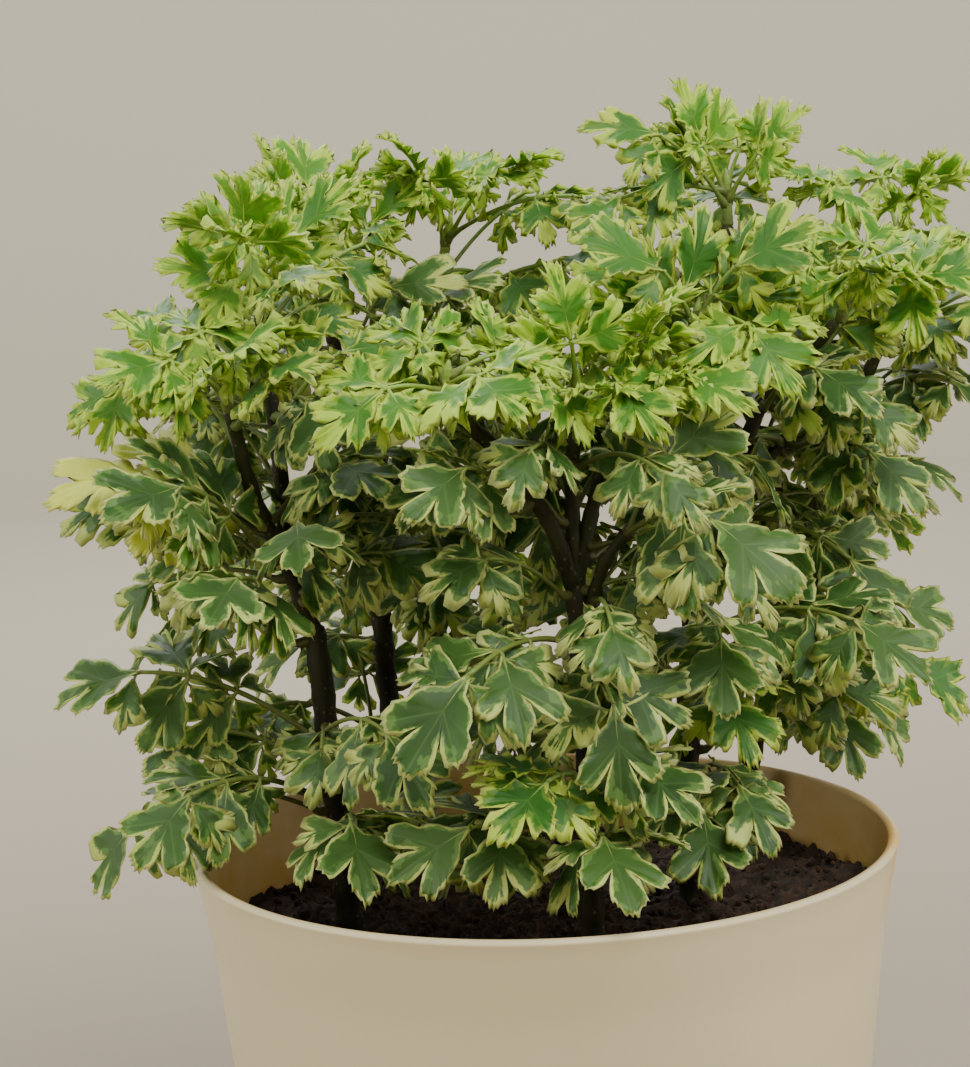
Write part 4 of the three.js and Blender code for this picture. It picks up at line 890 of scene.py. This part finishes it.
# A leaflet: with C the junction of its lobes and O its outline, the point at level r and step t is
# C + r (O(t) - C). Its height above the frame folds up beside the rib, droops towards the tip,
# ripples and ruffles with r to the 2nd and the 5th power, sinks along the veins and curls down at
# the ends.
def addBlade(nodeMesh, leaf, frameOf, pick, every=1):
    kind, seed, length, key = kinds[leaf["kind"]], leaf["seed"], frameOf["length"], frameOf["key"]
    rng = np.random.default_rng(seed * 1000 + key)
    tipRadius = (1 - leaflet["junction"]) * length
    lobes = next(corners for least, corners in lobeSets if frameOf["solid"] >= least)
    sides = {}
    for side in (-1, 1):  # the draws are numbered as in the solids
        corners = []
        for i, (angle, share) in enumerate(lobes):
            turn = key + 5 + i + (10 if side > 0 else 0)
            radius = share * length * (1 + leaflet["lobe"] * spreadDraw(seed, turn))
            corners.append((angle, radius, leaflet["ripple"] * length * spreadDraw(seed, turn + 4)))
        fine = fineCorners(corners, tipRadius, rng.uniform(*leaflet["cutDepth"]))
        least, grows = leaflet["toothHeight"]
        height = kind["tooth"] * (least + grows * length)
        sides[side] = sideOutline(fine, tipRadius, length, height, every, rng)
    tip = np.array([(length + leaflet["tipOver"], 0.0)])
    outline = np.concatenate([sides[-1][0] * (1, -1), tip, sides[1][0][::-1]])
    ripple = np.concatenate([sides[-1][1], [0], sides[1][1][::-1]])
    peaks = np.array([sides[-1][2] * (1, -1), tip[0], sides[1][2]])
    middle = np.array((leaflet["junction"] * length, 0.0))
    gone = runLength(outline)
    phase = rng.uniform(0, 2 * math.pi, 5)
    steady, swings, fade = leaflet["ruffleFades"]
    ruffle = kind["ruffle"] * np.sin(gone * 2 * math.pi / leaflet["ruffleLength"] + phase[0]) \
        * (steady + swings * np.sin(gone / fade + phase[1]))
    curl = leaflet["curl"] * (1 + leaflet["curlVaries"] * math.sin(phase[4]))

    def heightAt(x, y, r, ripple, ruffle, vein):
        far = np.maximum(np.hypot(x - middle[0], y) - leaflet["curlFrom"] * length, 0)
        fold = kind["fold"] * (np.sqrt(y ** 2 + leaflet["foldRound"] ** 2) - leaflet["foldRound"])
        return fold - kind["droop"] * x ** 2 / length \
            + ripple * r ** 2 + ruffle * r ** 5 - curl * far ** 2 / length \
            - leaflet["groove"] * np.exp(-(vein / leaflet["grooveWidth"]) ** 2)

    veinStarts = np.array([middle, middle, middle, (0.0, 0.0)])
    veinEnds = np.array([*peaks, middle])
    rimEnds = np.concatenate([outline[1:], outline[:1]])

    def rings(levels, face):  # the points of a face at some levels, with their rim and vein distances
        level = np.array(levels)[:, None]
        x, y = middle[0] + level * (outline[:, 0] - middle[0]), level * outline[:, 1]
        vein = lineDistance(x, y, veinStarts, veinEnds)
        rise = heightAt(x, y, level, ripple, ruffle, vein) \
            + face * leaflet["half"] * np.sqrt(1 - level ** 2)
        points = frameOf["root"] + x[..., None] * frameOf["ahead"] + y[..., None] * frameOf["left"] \
            + rise[..., None] * frameOf["top"]
        return points, lineDistance(x, y, outline, rimEnds), vein

    lower, upper = rings(leaflet["lowerLevels"], -1), rings(leaflet["upperLevels"][::every], 1)
    points, rim, vein = (np.concatenate(pair) for pair in zip(lower, upper))
    poleHeight = heightAt(middle[0], 0.0, 0.0, 0.0, 0.0, 0.0) + np.array((-1, 1)) * leaflet["half"]
    poles = frameOf["root"] + middle[0] * frameOf["ahead"] + poleHeight[:, None] * frameOf["top"]
    nearPeak = np.hypot(outline[:, None, 0] - peaks[:, 0], outline[:, None, 1] - peaks[:, 1])
    tipShare = (np.exp(-(nearPeak / leaflet["tipFade"]) ** 2) * rng.random(3) ** 5).max(1)
    mean, swing, short, long = leaflet["marginWanders"]
    wander = mean + swing * np.sin(gone / short + phase[2]) * np.sin(gone / long + phase[3])
    margin = kind["margin"] * wander + kind["tipMargin"] * tipShare
    spread = [[margin.mean()], *[margin] * len(points), [margin.mean()]]
    below = [[1.0], *[np.ones(len(outline))] * len(leaflet["lowerLevels"]),
             *[np.zeros(len(outline))] * len(upper[0]), [0.0]]
    nodeMesh.add(*closedSurface(poles[0], points, poles[1]), pick,
                 rim=np.concatenate([[rim.max()], rim.ravel(), [rim.max()]]),
                 vein=np.concatenate([[0], vein.ravel(), [0]]), margin=np.concatenate(spread),
                 below=np.concatenate(below), tint=draw(seed, key + 25))

    # The stalk runs from inside the rib under the blade, and thins out along its middle vein
    stalkAt = np.array(leaflet["stalkShares"])[::every] * length
    low = heightAt(stalkAt, 0.0, 0.0, 0.0, 0.0, 0.0) - leaflet["stalkBelow"]
    line = frameOf["root"] + stalkAt[:, None] * frameOf["ahead"] + low[:, None] * frameOf["top"]
    line = smoothLine(np.concatenate([[frameOf["from"]], line]), 2)
    share = np.linspace(0, 1, len(line))
    radius = (leaflet["stalkRadius"] - leaflet["stalkNarrows"] * share) / math.sqrt(every)
    nodeMesh.add(*tubeSurface(line, radius, leaflet["stalkSides"], frameOf["left"]), pick + 1,
                 along=perRing(0.6 + 0.4 * share, leaflet["stalkSides"]))


# A pair of smaller leaflets on a leaflet's stalk, to its sides and hanging lower, as on a leaf that
# divides twice; the solid leaves them out
def addSidePair(nodeMesh, leaf, frameOf, pick):
    key = frameOf["key"] + sidePair["firstDraw"]
    rng = np.random.default_rng(leaf["seed"] * 1000 + key)
    for side in (-1, 1):
        yaw = math.radians(rng.normal(*sidePair["yaw"]))
        pitch = math.radians(rng.normal(*sidePair["pitch"]))
        roll = math.radians(rng.normal(0, sidePair["roll"]))
        length = frameOf["length"] * rng.uniform(*sidePair["length"])
        ahead, top = turned(frameOf["ahead"], frameOf["left"] * side, frameOf["top"], yaw, pitch, roll)
        root = frameOf["root"] + frameOf["ahead"] * sidePair["at"] * length \
            + ahead * sidePair["ahead"] - frameOf["top"] * sidePair["lower"]
        addBlade(nodeMesh, leaf, {
            "root": root, "from": root - ahead * sidePair["foot"], "ahead": ahead, "top": top,
            "left": np.cross(top, ahead), "solid": 0, "length": length, "key": key + side,
        }, pick, 2)


# The rib: a tube from inside the stem along the rib's curve, flared where it clasps the stem
def addRib(nodeMesh, leaf, pick):
    frames = [ribFrame(leaf, share) for share in rib["shares"]]
    curve = np.array([point - top * rib["sunk"] for point, _, _, top in frames])
    start = [leaf["base"], leaf["foot"]] if leaf["outer"] else [leaf["foot"]]
    line = smoothLine(np.concatenate([start, curve]), 3)
    gone = runLength(line)
    share = gone / gone[-1]
    weight = math.sqrt(leaf["rib"][0] / rib["full"][0])
    pastClasp = np.maximum(gone - leaf["clasp"], 0)
    radius = weight * (rib["thick"] + (rib["thin"] - rib["thick"]) * share) \
        + rib["flare"] * np.exp(-(pastClasp / rib["flareLength"]) ** 2)
    nodeMesh.add(*tubeSurface(line, radius, rib["sides"], leaf["across"]), pick + 1,
                 along=perRing(share * 0.7, rib["sides"]))


# Each entry is one node: the stem and the share of its length that it grows on, the tip of its green
# shoot, and its leaves as (end of the rib, length of the end leaflet, leaflets, kind)
foliage = [
    ("centre.low", 1, None, [(33, -62, 207, 21.5, 5, "mature"), (26, -46, 216, 17, 3, "mature")]),
    ("centre.trunk", 0.86, None, [
        (-13, -68, 180, 21.5, 5, "mature"), (14, -62, 172, 19.5, 5, "mature"),
    ]),
    ("left.outer", 0.62, None, [(-76, -33, 216, 20.5, 3, "cream")]),
    ("left.outer", 0.36, None, [(-68, -41, 214, 19.5, 5, "mature"), (-74, -20, 206, 17, 3, "mature")]),
    ("right.front", 1, (35, -18, 243), [
        (28, -27, 251, 19.5, 3, "fresh"), (42, -24, 251, 18.5, 3, "fresh"),
        (19, -22, 246, 16.5, 3, "young"), (44, -32, 240, 17.5, 3, "young"),
    ]),
    ("centre.middle", 1, (10, -33, 231), [
        (3, -47, 233, 16.5, 3, "young"), (17, -47, 231, 16.5, 3, "young"),
        (9, -38, 239, 15, 3, "young"),
    ]),
    ("centre.rightward", 1, (22, -27, 230), [
        (30, -42, 231, 16.5, 3, "young"), (23, -36, 239, 15.5, 3, "young"),
        (36, -26, 232, 15.5, 3, "young"), (14, -16, 234, 15, 3, "young"),
    ]),
    ("centre.leftward", 1, (-15, -47, 235), [
        (-27, -56, 233, 16.5, 3, "young"), (-9, -60, 235, 15.5, 3, "young"),
        (-20, -39, 240, 15.5, 3, "young"), (-5, -41, 239, 15, 3, "young"),
    ]),
    ("left.inner", 1, (-55, 0, 254), [
        (-60, -2, 252, 15.5, 3, "upright"), (-56, -10, 260, 17.5, 3, "upright"),
        (-47, -1, 259, 17.5, 3, "upright"), (-55, 10, 260, 15.5, 3, "upright"),
    ]),
    ("left.outer", 1, (-62, -24, 235), [
        (-70, -34, 238, 16.5, 3, "young"), (-56, -36, 240, 16.5, 3, "young"),
        (-82, -20, 232, 15.5, 3, "young"), (-66, -14, 242, 15, 3, "young"),
    ]),
    ("right.top", 1, (44, 18, 267), [
        (30, 9, 277, 16, 3, "fresh"), (51, 14, 273, 13, 3, "upright"),
        (39, 16, 275, 14, 3, "upright"), (24, 4, 267, 14, 3, "fresh"),
        (48, 28, 273, 13, 3, "upright"),
    ]),
    ("right.outer", 1, (67, -4, 245), [
        (68, -17, 250, 16.5, 3, "young"), (80, -10, 247, 16.5, 3, "young"),
        (58, -10, 252, 15.5, 3, "young"), (72, 4, 253, 15.5, 3, "young"),
    ]),
    ("back_right.outer", 1, (84, 43, 251), [
        (68, 30, 265, 16.5, 3, "young"), (86, 34, 262, 15.5, 3, "young"),
        (95, 34, 252, 16.5, 3, "young"), (82, 56, 265, 15.5, 3, "young"),
    ]),
    ("back_left.outer", 1, (-44, 46, 254), [
        (-50, 40, 265, 16.5, 3, "upright"), (-40, 40, 264, 15.5, 3, "upright"),
        (-34, 48, 259, 15.5, 3, "upright"), (-48, 58, 267, 15.5, 3, "upright"),
    ]),
    ("back_left.inner", 1, (-16, 56, 258), [
        (-24, 50, 267, 15.5, 3, "young"), (-5, 50, 270, 15.5, 3, "young"),
        (12, 42, 264, 15.5, 3, "fresh"), (-14, 68, 268, 15.5, 3, "young"),
    ]),
    ("back_right.inner", 1, (41, 64, 234), [
        (30, 60, 244, 16.5, 3, "young"), (48, 58, 245, 15.5, 3, "young"),
        (36, 77, 242, 16.5, 3, "young"), (52, 70, 240, 16, 3, "fresh"),
    ]),
    ("right.trunk", 0.78, None, [(64, -24, 179, 19.5, 5, "mature"), (36, -42, 180, 18.5, 5, "mature")]),
    ("right.side", 1, None, [(70, -6, 211, 17, 5, "mature"), (72, 16, 218, 17.5, 3, "mature")]),
    ("right.side", 0.4, None, [(66, -4, 188, 17.5, 5, "mature"), (62, 24, 198, 17.5, 3, "mature")]),
    ("centre.trunk", 0.56, None, [(1, -60, 157, 18.5, 5, "fresh"), (18, -54, 158, 17.5, 3, "mature")]),
    ("centre.trunk", 0.4, None, [
        (11, -60, 146, 19.5, 3, "mature"), (-14, -58, 148, 18.5, 5, "mature"),
    ]),
    ("left.trunk", 0.42, None, [
        (-38, -46, 147, 19.5, 5, "mature"), (-26, -34, 144, 17.5, 3, "mature"),
    ]),
    ("left.trunk", 0.7, None, [(-81, -24, 174, 18.4, 5, "mature"), (-30, -48, 165, 18.5, 3, "mature")]),
    ("left.trunk", 0.55, None, [
        (-70, -40, 152, 17.5, 5, "mature"), (-86, -12, 139, 18.4, 3, "mature"),
    ]),
    ("left.trunk", 0.62, None, [(-66, -20, 160, 17, 3, "mature")]),
    ("left.trunk", 0.95, None, [(-57, -50, 197, 19.5, 5, "mature"), (-77, 8, 180, 17.5, 3, "mature")]),
    ("left.outer", 0.16, None, [(-46, -40, 206, 18.5, 3, "mature")]),
    ("left.inner", 0.42, None, [(-38, -30, 216, 17.5, 5, "mature"), (-32, -4, 208, 17.5, 3, "mature")]),
    ("left.inner", 0.5, None, [(-68, 18, 222, 17.5, 3, "mature")]),
    ("left.inner", 0.66, None, [(-38, -10, 236, 17, 3, "fresh"), (-44, -24, 228, 17, 3, "mature")]),
    ("left.inner", 0.78, None, [(-73, 10, 243, 17, 3, "fresh")]),
    ("centre.leftward", 0.45, None, [
        (-20, -32, 216, 18.5, 5, "mature"), (-12, -60, 218, 17, 3, "mature"),
    ]),
    ("centre.middle", 0.45, None, [(2, -12, 213, 17.5, 3, "mature"), (22, -10, 218, 17, 3, "mature")]),
    ("right.trunk", 0.45, None, [(32, -34, 143, 18.5, 5, "mature"), (42, -30, 144, 17, 5, "mature")]),
    ("right.trunk", 0.62, None, [(38, -24, 164, 17, 3, "fresh"), (20, -16, 172, 17.5, 3, "mature")]),
    ("right.outer", 0.6, None, [(58, -18, 230, 17.5, 3, "mature")]),
    ("right.front", 0.55, None, [(35, -30, 229, 15.5, 3, "mature"), (24, -28, 222, 17.5, 3, "mature")]),
    ("right.outer", 0.7, None, [(66, 16, 236, 17.5, 3, "mature")]),
    ("right.top", 0.6, None, [(58, 20, 248, 17, 3, "fresh"), (30, 30, 246, 17.5, 3, "mature")]),
    ("right.trunk", 0.7, None, [(79, 8, 163, 18.5, 3, "fresh"), (75, 0, 178, 15.5, 3, "mature")]),
    ("back_right.trunk", 0.5, None, [
        (64, 22, 152, 17.5, 3, "mature"), (75, 42, 149, 17.5, 3, "mature"),
    ]),
    ("back_right.outer", 0.45, None, [
        (94, 42, 220, 17.5, 3, "mature"), (84, 70, 216, 17.5, 3, "mature"),
    ]),
    ("back_right.trunk", 0.86, None, [
        (80, 68, 190, 17.5, 3, "mature"), (50, 78, 188, 17.5, 5, "mature"),
    ]),
    ("back_right.trunk", 0.35, None, [(50, 76, 150, 17.5, 3, "mature")]),
    ("back_right.inner", 0.5, None, [(30, 74, 214, 17.5, 3, "mature"), (68, 78, 224, 16, 3, "mature")]),
    ("back_left.trunk", 0.45, None, [
        (-62, 28, 154, 17.5, 3, "mature"), (-42, 58, 163, 17.5, 3, "mature"),
    ]),
    ("back_left.trunk", 0.55, None, [
        (-15, 64, 170, 17.5, 3, "mature"), (-5, 30, 176, 17.5, 3, "mature"),
    ]),
    ("back_left.trunk", 0.8, None, [
        (-22, 22, 192, 17.5, 3, "mature"), (-66, 52, 188, 17.5, 5, "mature"),
    ]),
    ("back_left.trunk", 0.92, None, [
        (-4, 40, 194, 17.5, 3, "mature"), (-30, 80, 196, 17.5, 5, "mature"),
    ]),
    ("back_left.outer", 0.55, None, [
        (-70, 38, 226, 17.5, 3, "mature"), (-30, 30, 246, 17.5, 3, "mature"),
    ]),
    ("back_left.inner", 0.45, None, [
        (-18, 36, 244, 17.5, 3, "mature"), (-8, 74, 224, 17.5, 3, "mature"),
    ]),
    ("back_left.inner", 0.75, None, [(6, 48, 249, 16, 3, "fresh"), (-4, 72, 236, 17.5, 3, "mature")]),
]


shoot = {  # the first four as in the solids
    "solidRadius": 1.5, "gap": 0.3, "lowest": 0.3, "spread": 0.62,
    "radius": 1.25, "narrows": 0.5, "ring": 0.14, "bud": 0.22, "rings": 26, "sides": 12,
    "sunk": 1.5, "beyond": 2.2, "clasp": 0.8,
}


# Green shoot: a tapering tube with a ring at each leaf, drawn in to a blunt bud
def addShoot(nodeMesh, start, tip, leafCount, pick):
    reach = np.linspace(-shoot["sunk"], np.linalg.norm(tip - start) + shoot["beyond"], shoot["rings"])
    gone = np.linspace(0, 1, shoot["rings"])
    radius = shoot["radius"] - shoot["narrows"] * gone \
        + shoot["ring"] * np.sin(gone * math.pi * 2 * leafCount) ** 2
    radius = radius * np.sqrt(np.clip((1 - gone) / shoot["bud"], 0.02, 1))
    line = start + reach[:, None] * unit(tip - start)
    nodeMesh.add(*tubeSurface(line, radius, shoot["sides"], np.array((0.0, 1.0, 0.0))), pick + 1,
                 along=perRing(0.5 * gone, shoot["sides"]))


# Places of a leaf's leaflets: the end one and then the pairs, as (number, side, share, scale)
def leafSlots(leaf):
    slots = [(0, 0, 1.0, 1.0)]
    for number, station in enumerate(leaf["stations"]):
        scale = leaflet["upperPair"] - leaflet["lowerLoss"] * (len(leaf["stations"]) - 1 - number)
        slots += [(len(slots) + k, side, sum(station) / 2, scale) for k, side in enumerate((1, -1))]
    return slots


def tissuePick(kind):  # a kind's tissue in the list of leaf materials, where its stalk comes next
    return 2 * list(kinds).index(kind)


# A leaf: its rib, its leaflets, and the smaller pair beside each
def addLeaf(nodeMesh, leaf, parts, every=1):
    pick = tissuePick(leaf["kind"])
    addRib(nodeMesh, leaf, pick)
    for part in parts:
        addBlade(nodeMesh, leaf, part, pick, every)
        addSidePair(nodeMesh, leaf, part, pick)


print("leaves")
leafMaterials = [material for name in kinds for material in (tissues[name], stalks[name])]
counts = {}
missing = 0
leafPoints = []
for index, (on, at, shootTip, leaves) in enumerate(foliage):
    plant, arm = on.split(".")
    label = plant + ("_crown" if shootTip else "_leaf")
    counts[label] = counts.get(label, 0) + 1
    node = f"{label}_{counts[label]}"
    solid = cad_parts[node].data.vertices
    corners = np.zeros(len(solid) * 3, np.float32)
    solid.foreach_get("co", corners)
    corners = corners.reshape(-1, 3).astype(float) / mm
    leafPoints.append(np.unique(corners.round(1), axis=0))
    point, stemAhead, stemRadius = alongStem(*stemPaths[plant][arm], at)
    chords = [np.array(spec[:3], float) - point for spec in leaves]
    out = unit(sum(unit(chord - stemAhead * (chord @ stemAhead)) for chord in chords))
    nodeMesh = Gatherer(leafFields)
    if shootTip:
        shootTip = np.array(shootTip, float)
        lean = math.acos(np.clip(unit(shootTip - point) @ stemAhead, -1, 1))
        start = point + stemAhead * (shoot["gap"] + shoot["solidRadius"] * math.sin(lean))
        addShoot(nodeMesh, start, shootTip, len(leaves), tissuePick(leaves[0][5]))
    for i, (ex, ey, ez, size, leaflets, kind) in enumerate(leaves):
        if shootTip is None:
            foot = point + out * (stemRadius + shoot["gap"] + rib["inset"] + rib["collar"])
        else:
            foot = start + (shootTip - start) * (shoot["lowest"] + shoot["spread"] * i / len(leaves))
        spec = {"foot": foot, "aim": np.array((ex, ey, ez), float), "size": size, "leaflets": leaflets,
                "kind": kind, "seed": index * 7 + i, "outer": shootTip is None, "base": point,
                "clasp": stemRadius if shootTip is None else shoot["clasp"],
                "rib": rib["full"] if shootTip is None and i == 0 else rib["slim"]}
        leaf = matching((ribTry(spec, turn) for turn in range(rib["tries"])), ribCorners, corners)
        if leaf is None:
            missing += 1
            continue
        parts = [matching((leafletTry(leaf, slot, turn) for turn in range(leaflet["tries"])),
                          tipCorners, corners) for slot in leafSlots(leaf)]
        found = [part for part in parts if part]
        missing += len(parts) - len(found)
        addLeaf(nodeMesh, leaf, found)
    leafPiece = nodeMesh.piece(node + "_foliage", leafMaterials)
    fit(leafPiece, node)
print("leaves and leaflets not found:", missing)
leafPoints = np.concatenate(leafPoints)

# Inner leaves: small ones that fill the room between the leaves of the solids. Each grows from a
# trunk or an arm at a drawn share, turn, rise and reach. It is kept where its points stay clear of
# the leaves so far, go no further out than the solids' leaves, and leave the clearings open, where
# the stems show from the front.
print("inner leaves")
inner = {
    "seed": 8, "firstSeed": 1000, "tries": 900, "most": {"trunk": 14, "arm": 9},
    "lowest": {"trunk": 0.35, "arm": 0.1}, "highest": 0.97, "stand": 0.8,
    "rise": (-12, 42), "reach": (12, 34), "size": (12.5, 17.5), "clear": 3.6, "near": 15.0,
    "freshAbove": 234.0, "aboveRim": 5.0, "insideRim": 7.0, "aboveSoil": 6.0, "clearing": 8.0,
    # Shares at which points stand for a leaf: past its foot at first, then of its rib and its leaflets
    "rough": (-0.4, 0.2, 0.8), "ofRib": (0.5, 0.8, 1.0), "ofLeaflet": (0.55, 0.95), "beside": (0.6, 0.4),
}
clearings = np.array([(8, -36, 197), (-44, -12, 168), (41, 8, 230), (-53, -8, 217), (35, 15, 266),
                      (54, 15, 264), (-7, 50, 253), (49, 20, 220), (-58, 20, 165), (-66, 10, 153),
                      (68, 20, 175), (68, 30, 127), (53, 45, 126), (9, 30, 257)], float)
eye = np.array(view["place"]) / mm


def sightDistance(places, clearing):  # from the line between a clearing and the camera
    sight = unit(eye - clearing)
    along = (places - clearing) @ sight
    apart = np.linalg.norm(places - clearing - along[:, None] * sight, axis=1)
    return np.where(along > -4, apart, np.inf).min()


# Points of a leaf that stand for its extent: along its rib, and at the ends and sides of its leaflets
def leafExtent(leaf, parts):
    points = [ribFrame(leaf, share)[0] for share in inner["ofRib"]]
    on, off = inner["beside"]
    for part in parts:
        root, ahead, left, length = part["root"], part["ahead"], part["left"], part["length"]
        points += [root + ahead * length * share for share in inner["ofLeaflet"]]
        points += [root + ahead * length * on + left * length * off * side for side in (1, -1)]
    return np.array(points)


def hasRoom(places, grown, solids):
    fromMiddle = np.hypot(places[:, 0], places[:, 1])
    inPot = (fromMiddle < innerRadius(pot["height"]) - inner["insideRim"]) \
        & (places[:, 2] > soil["level"] + inner["aboveSoil"])
    overPot = places[:, 2] > pot["height"] + inner["aboveRim"]
    if not (inPot | overPot).all():
        return False
    if min(sightDistance(places, clearing) for clearing in clearings) < inner["clearing"]:
        return False
    if any(np.linalg.norm(grown - place, axis=1).min() < inner["clear"] for place in places):
        return False
    return all(np.linalg.norm(solids - place, axis=1).min() < inner["near"] for place in places)


rng = np.random.default_rng(inner["seed"])
grownPoints = leafPoints
for plant, arms in stemPaths.items():
    nodeMesh = Gatherer(leafFields)
    count = 0
    for arm, (path, radii) in arms.items():
        part = "trunk" if arm == "trunk" else "arm"
        placed = 0
        for _ in range(inner["tries"]):
            share = rng.uniform(inner["lowest"][part], inner["highest"])
            point, stemAhead, stemRadius = alongStem(path, radii, share)
            turn, rise = rng.uniform(0, 2 * math.pi), math.radians(rng.uniform(*inner["rise"]))
            reach, size = rng.uniform(*inner["reach"]), rng.uniform(*inner["size"])
            across = unit(np.cross(stemAhead, (math.cos(turn), math.sin(turn), 0.0)))
            foot = point + across * (stemRadius + inner["stand"])
            aim = foot + (across * (1, 1, 0) * math.cos(rise) + upward * math.sin(rise)) * reach
            kind = "fresh" if aim[2] > inner["freshAbove"] else "mature"
            leaf = ribTry({"foot": foot, "aim": aim, "size": size, "leaflets": 3, "kind": kind,
                           "seed": inner["firstSeed"] + len(grownPoints), "outer": True, "base": point,
                           "clasp": stemRadius, "rib": rib["slim"]}, 0)
            rough = aim + unit(aim - foot) * size * np.array(inner["rough"])[:, None]
            if not hasRoom(rough, grownPoints, leafPoints):  # a few points first, as most tries fail
                continue
            parts = [leafletTry(leaf, slot, 0) for slot in leafSlots(leaf)]
            places = leafExtent(leaf, parts)
            if not hasRoom(places, grownPoints, leafPoints):
                continue
            addLeaf(nodeMesh, leaf, parts, 2)
            grownPoints = np.concatenate([grownPoints, places])
            placed += 1
            if placed == inner["most"][part]:
                break
        count += placed
    print(plant, "inner leaves:", count)
    innerPiece = nodeMesh.piece(plant + "_inner_foliage", leafMaterials)
    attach(innerPiece, "root")
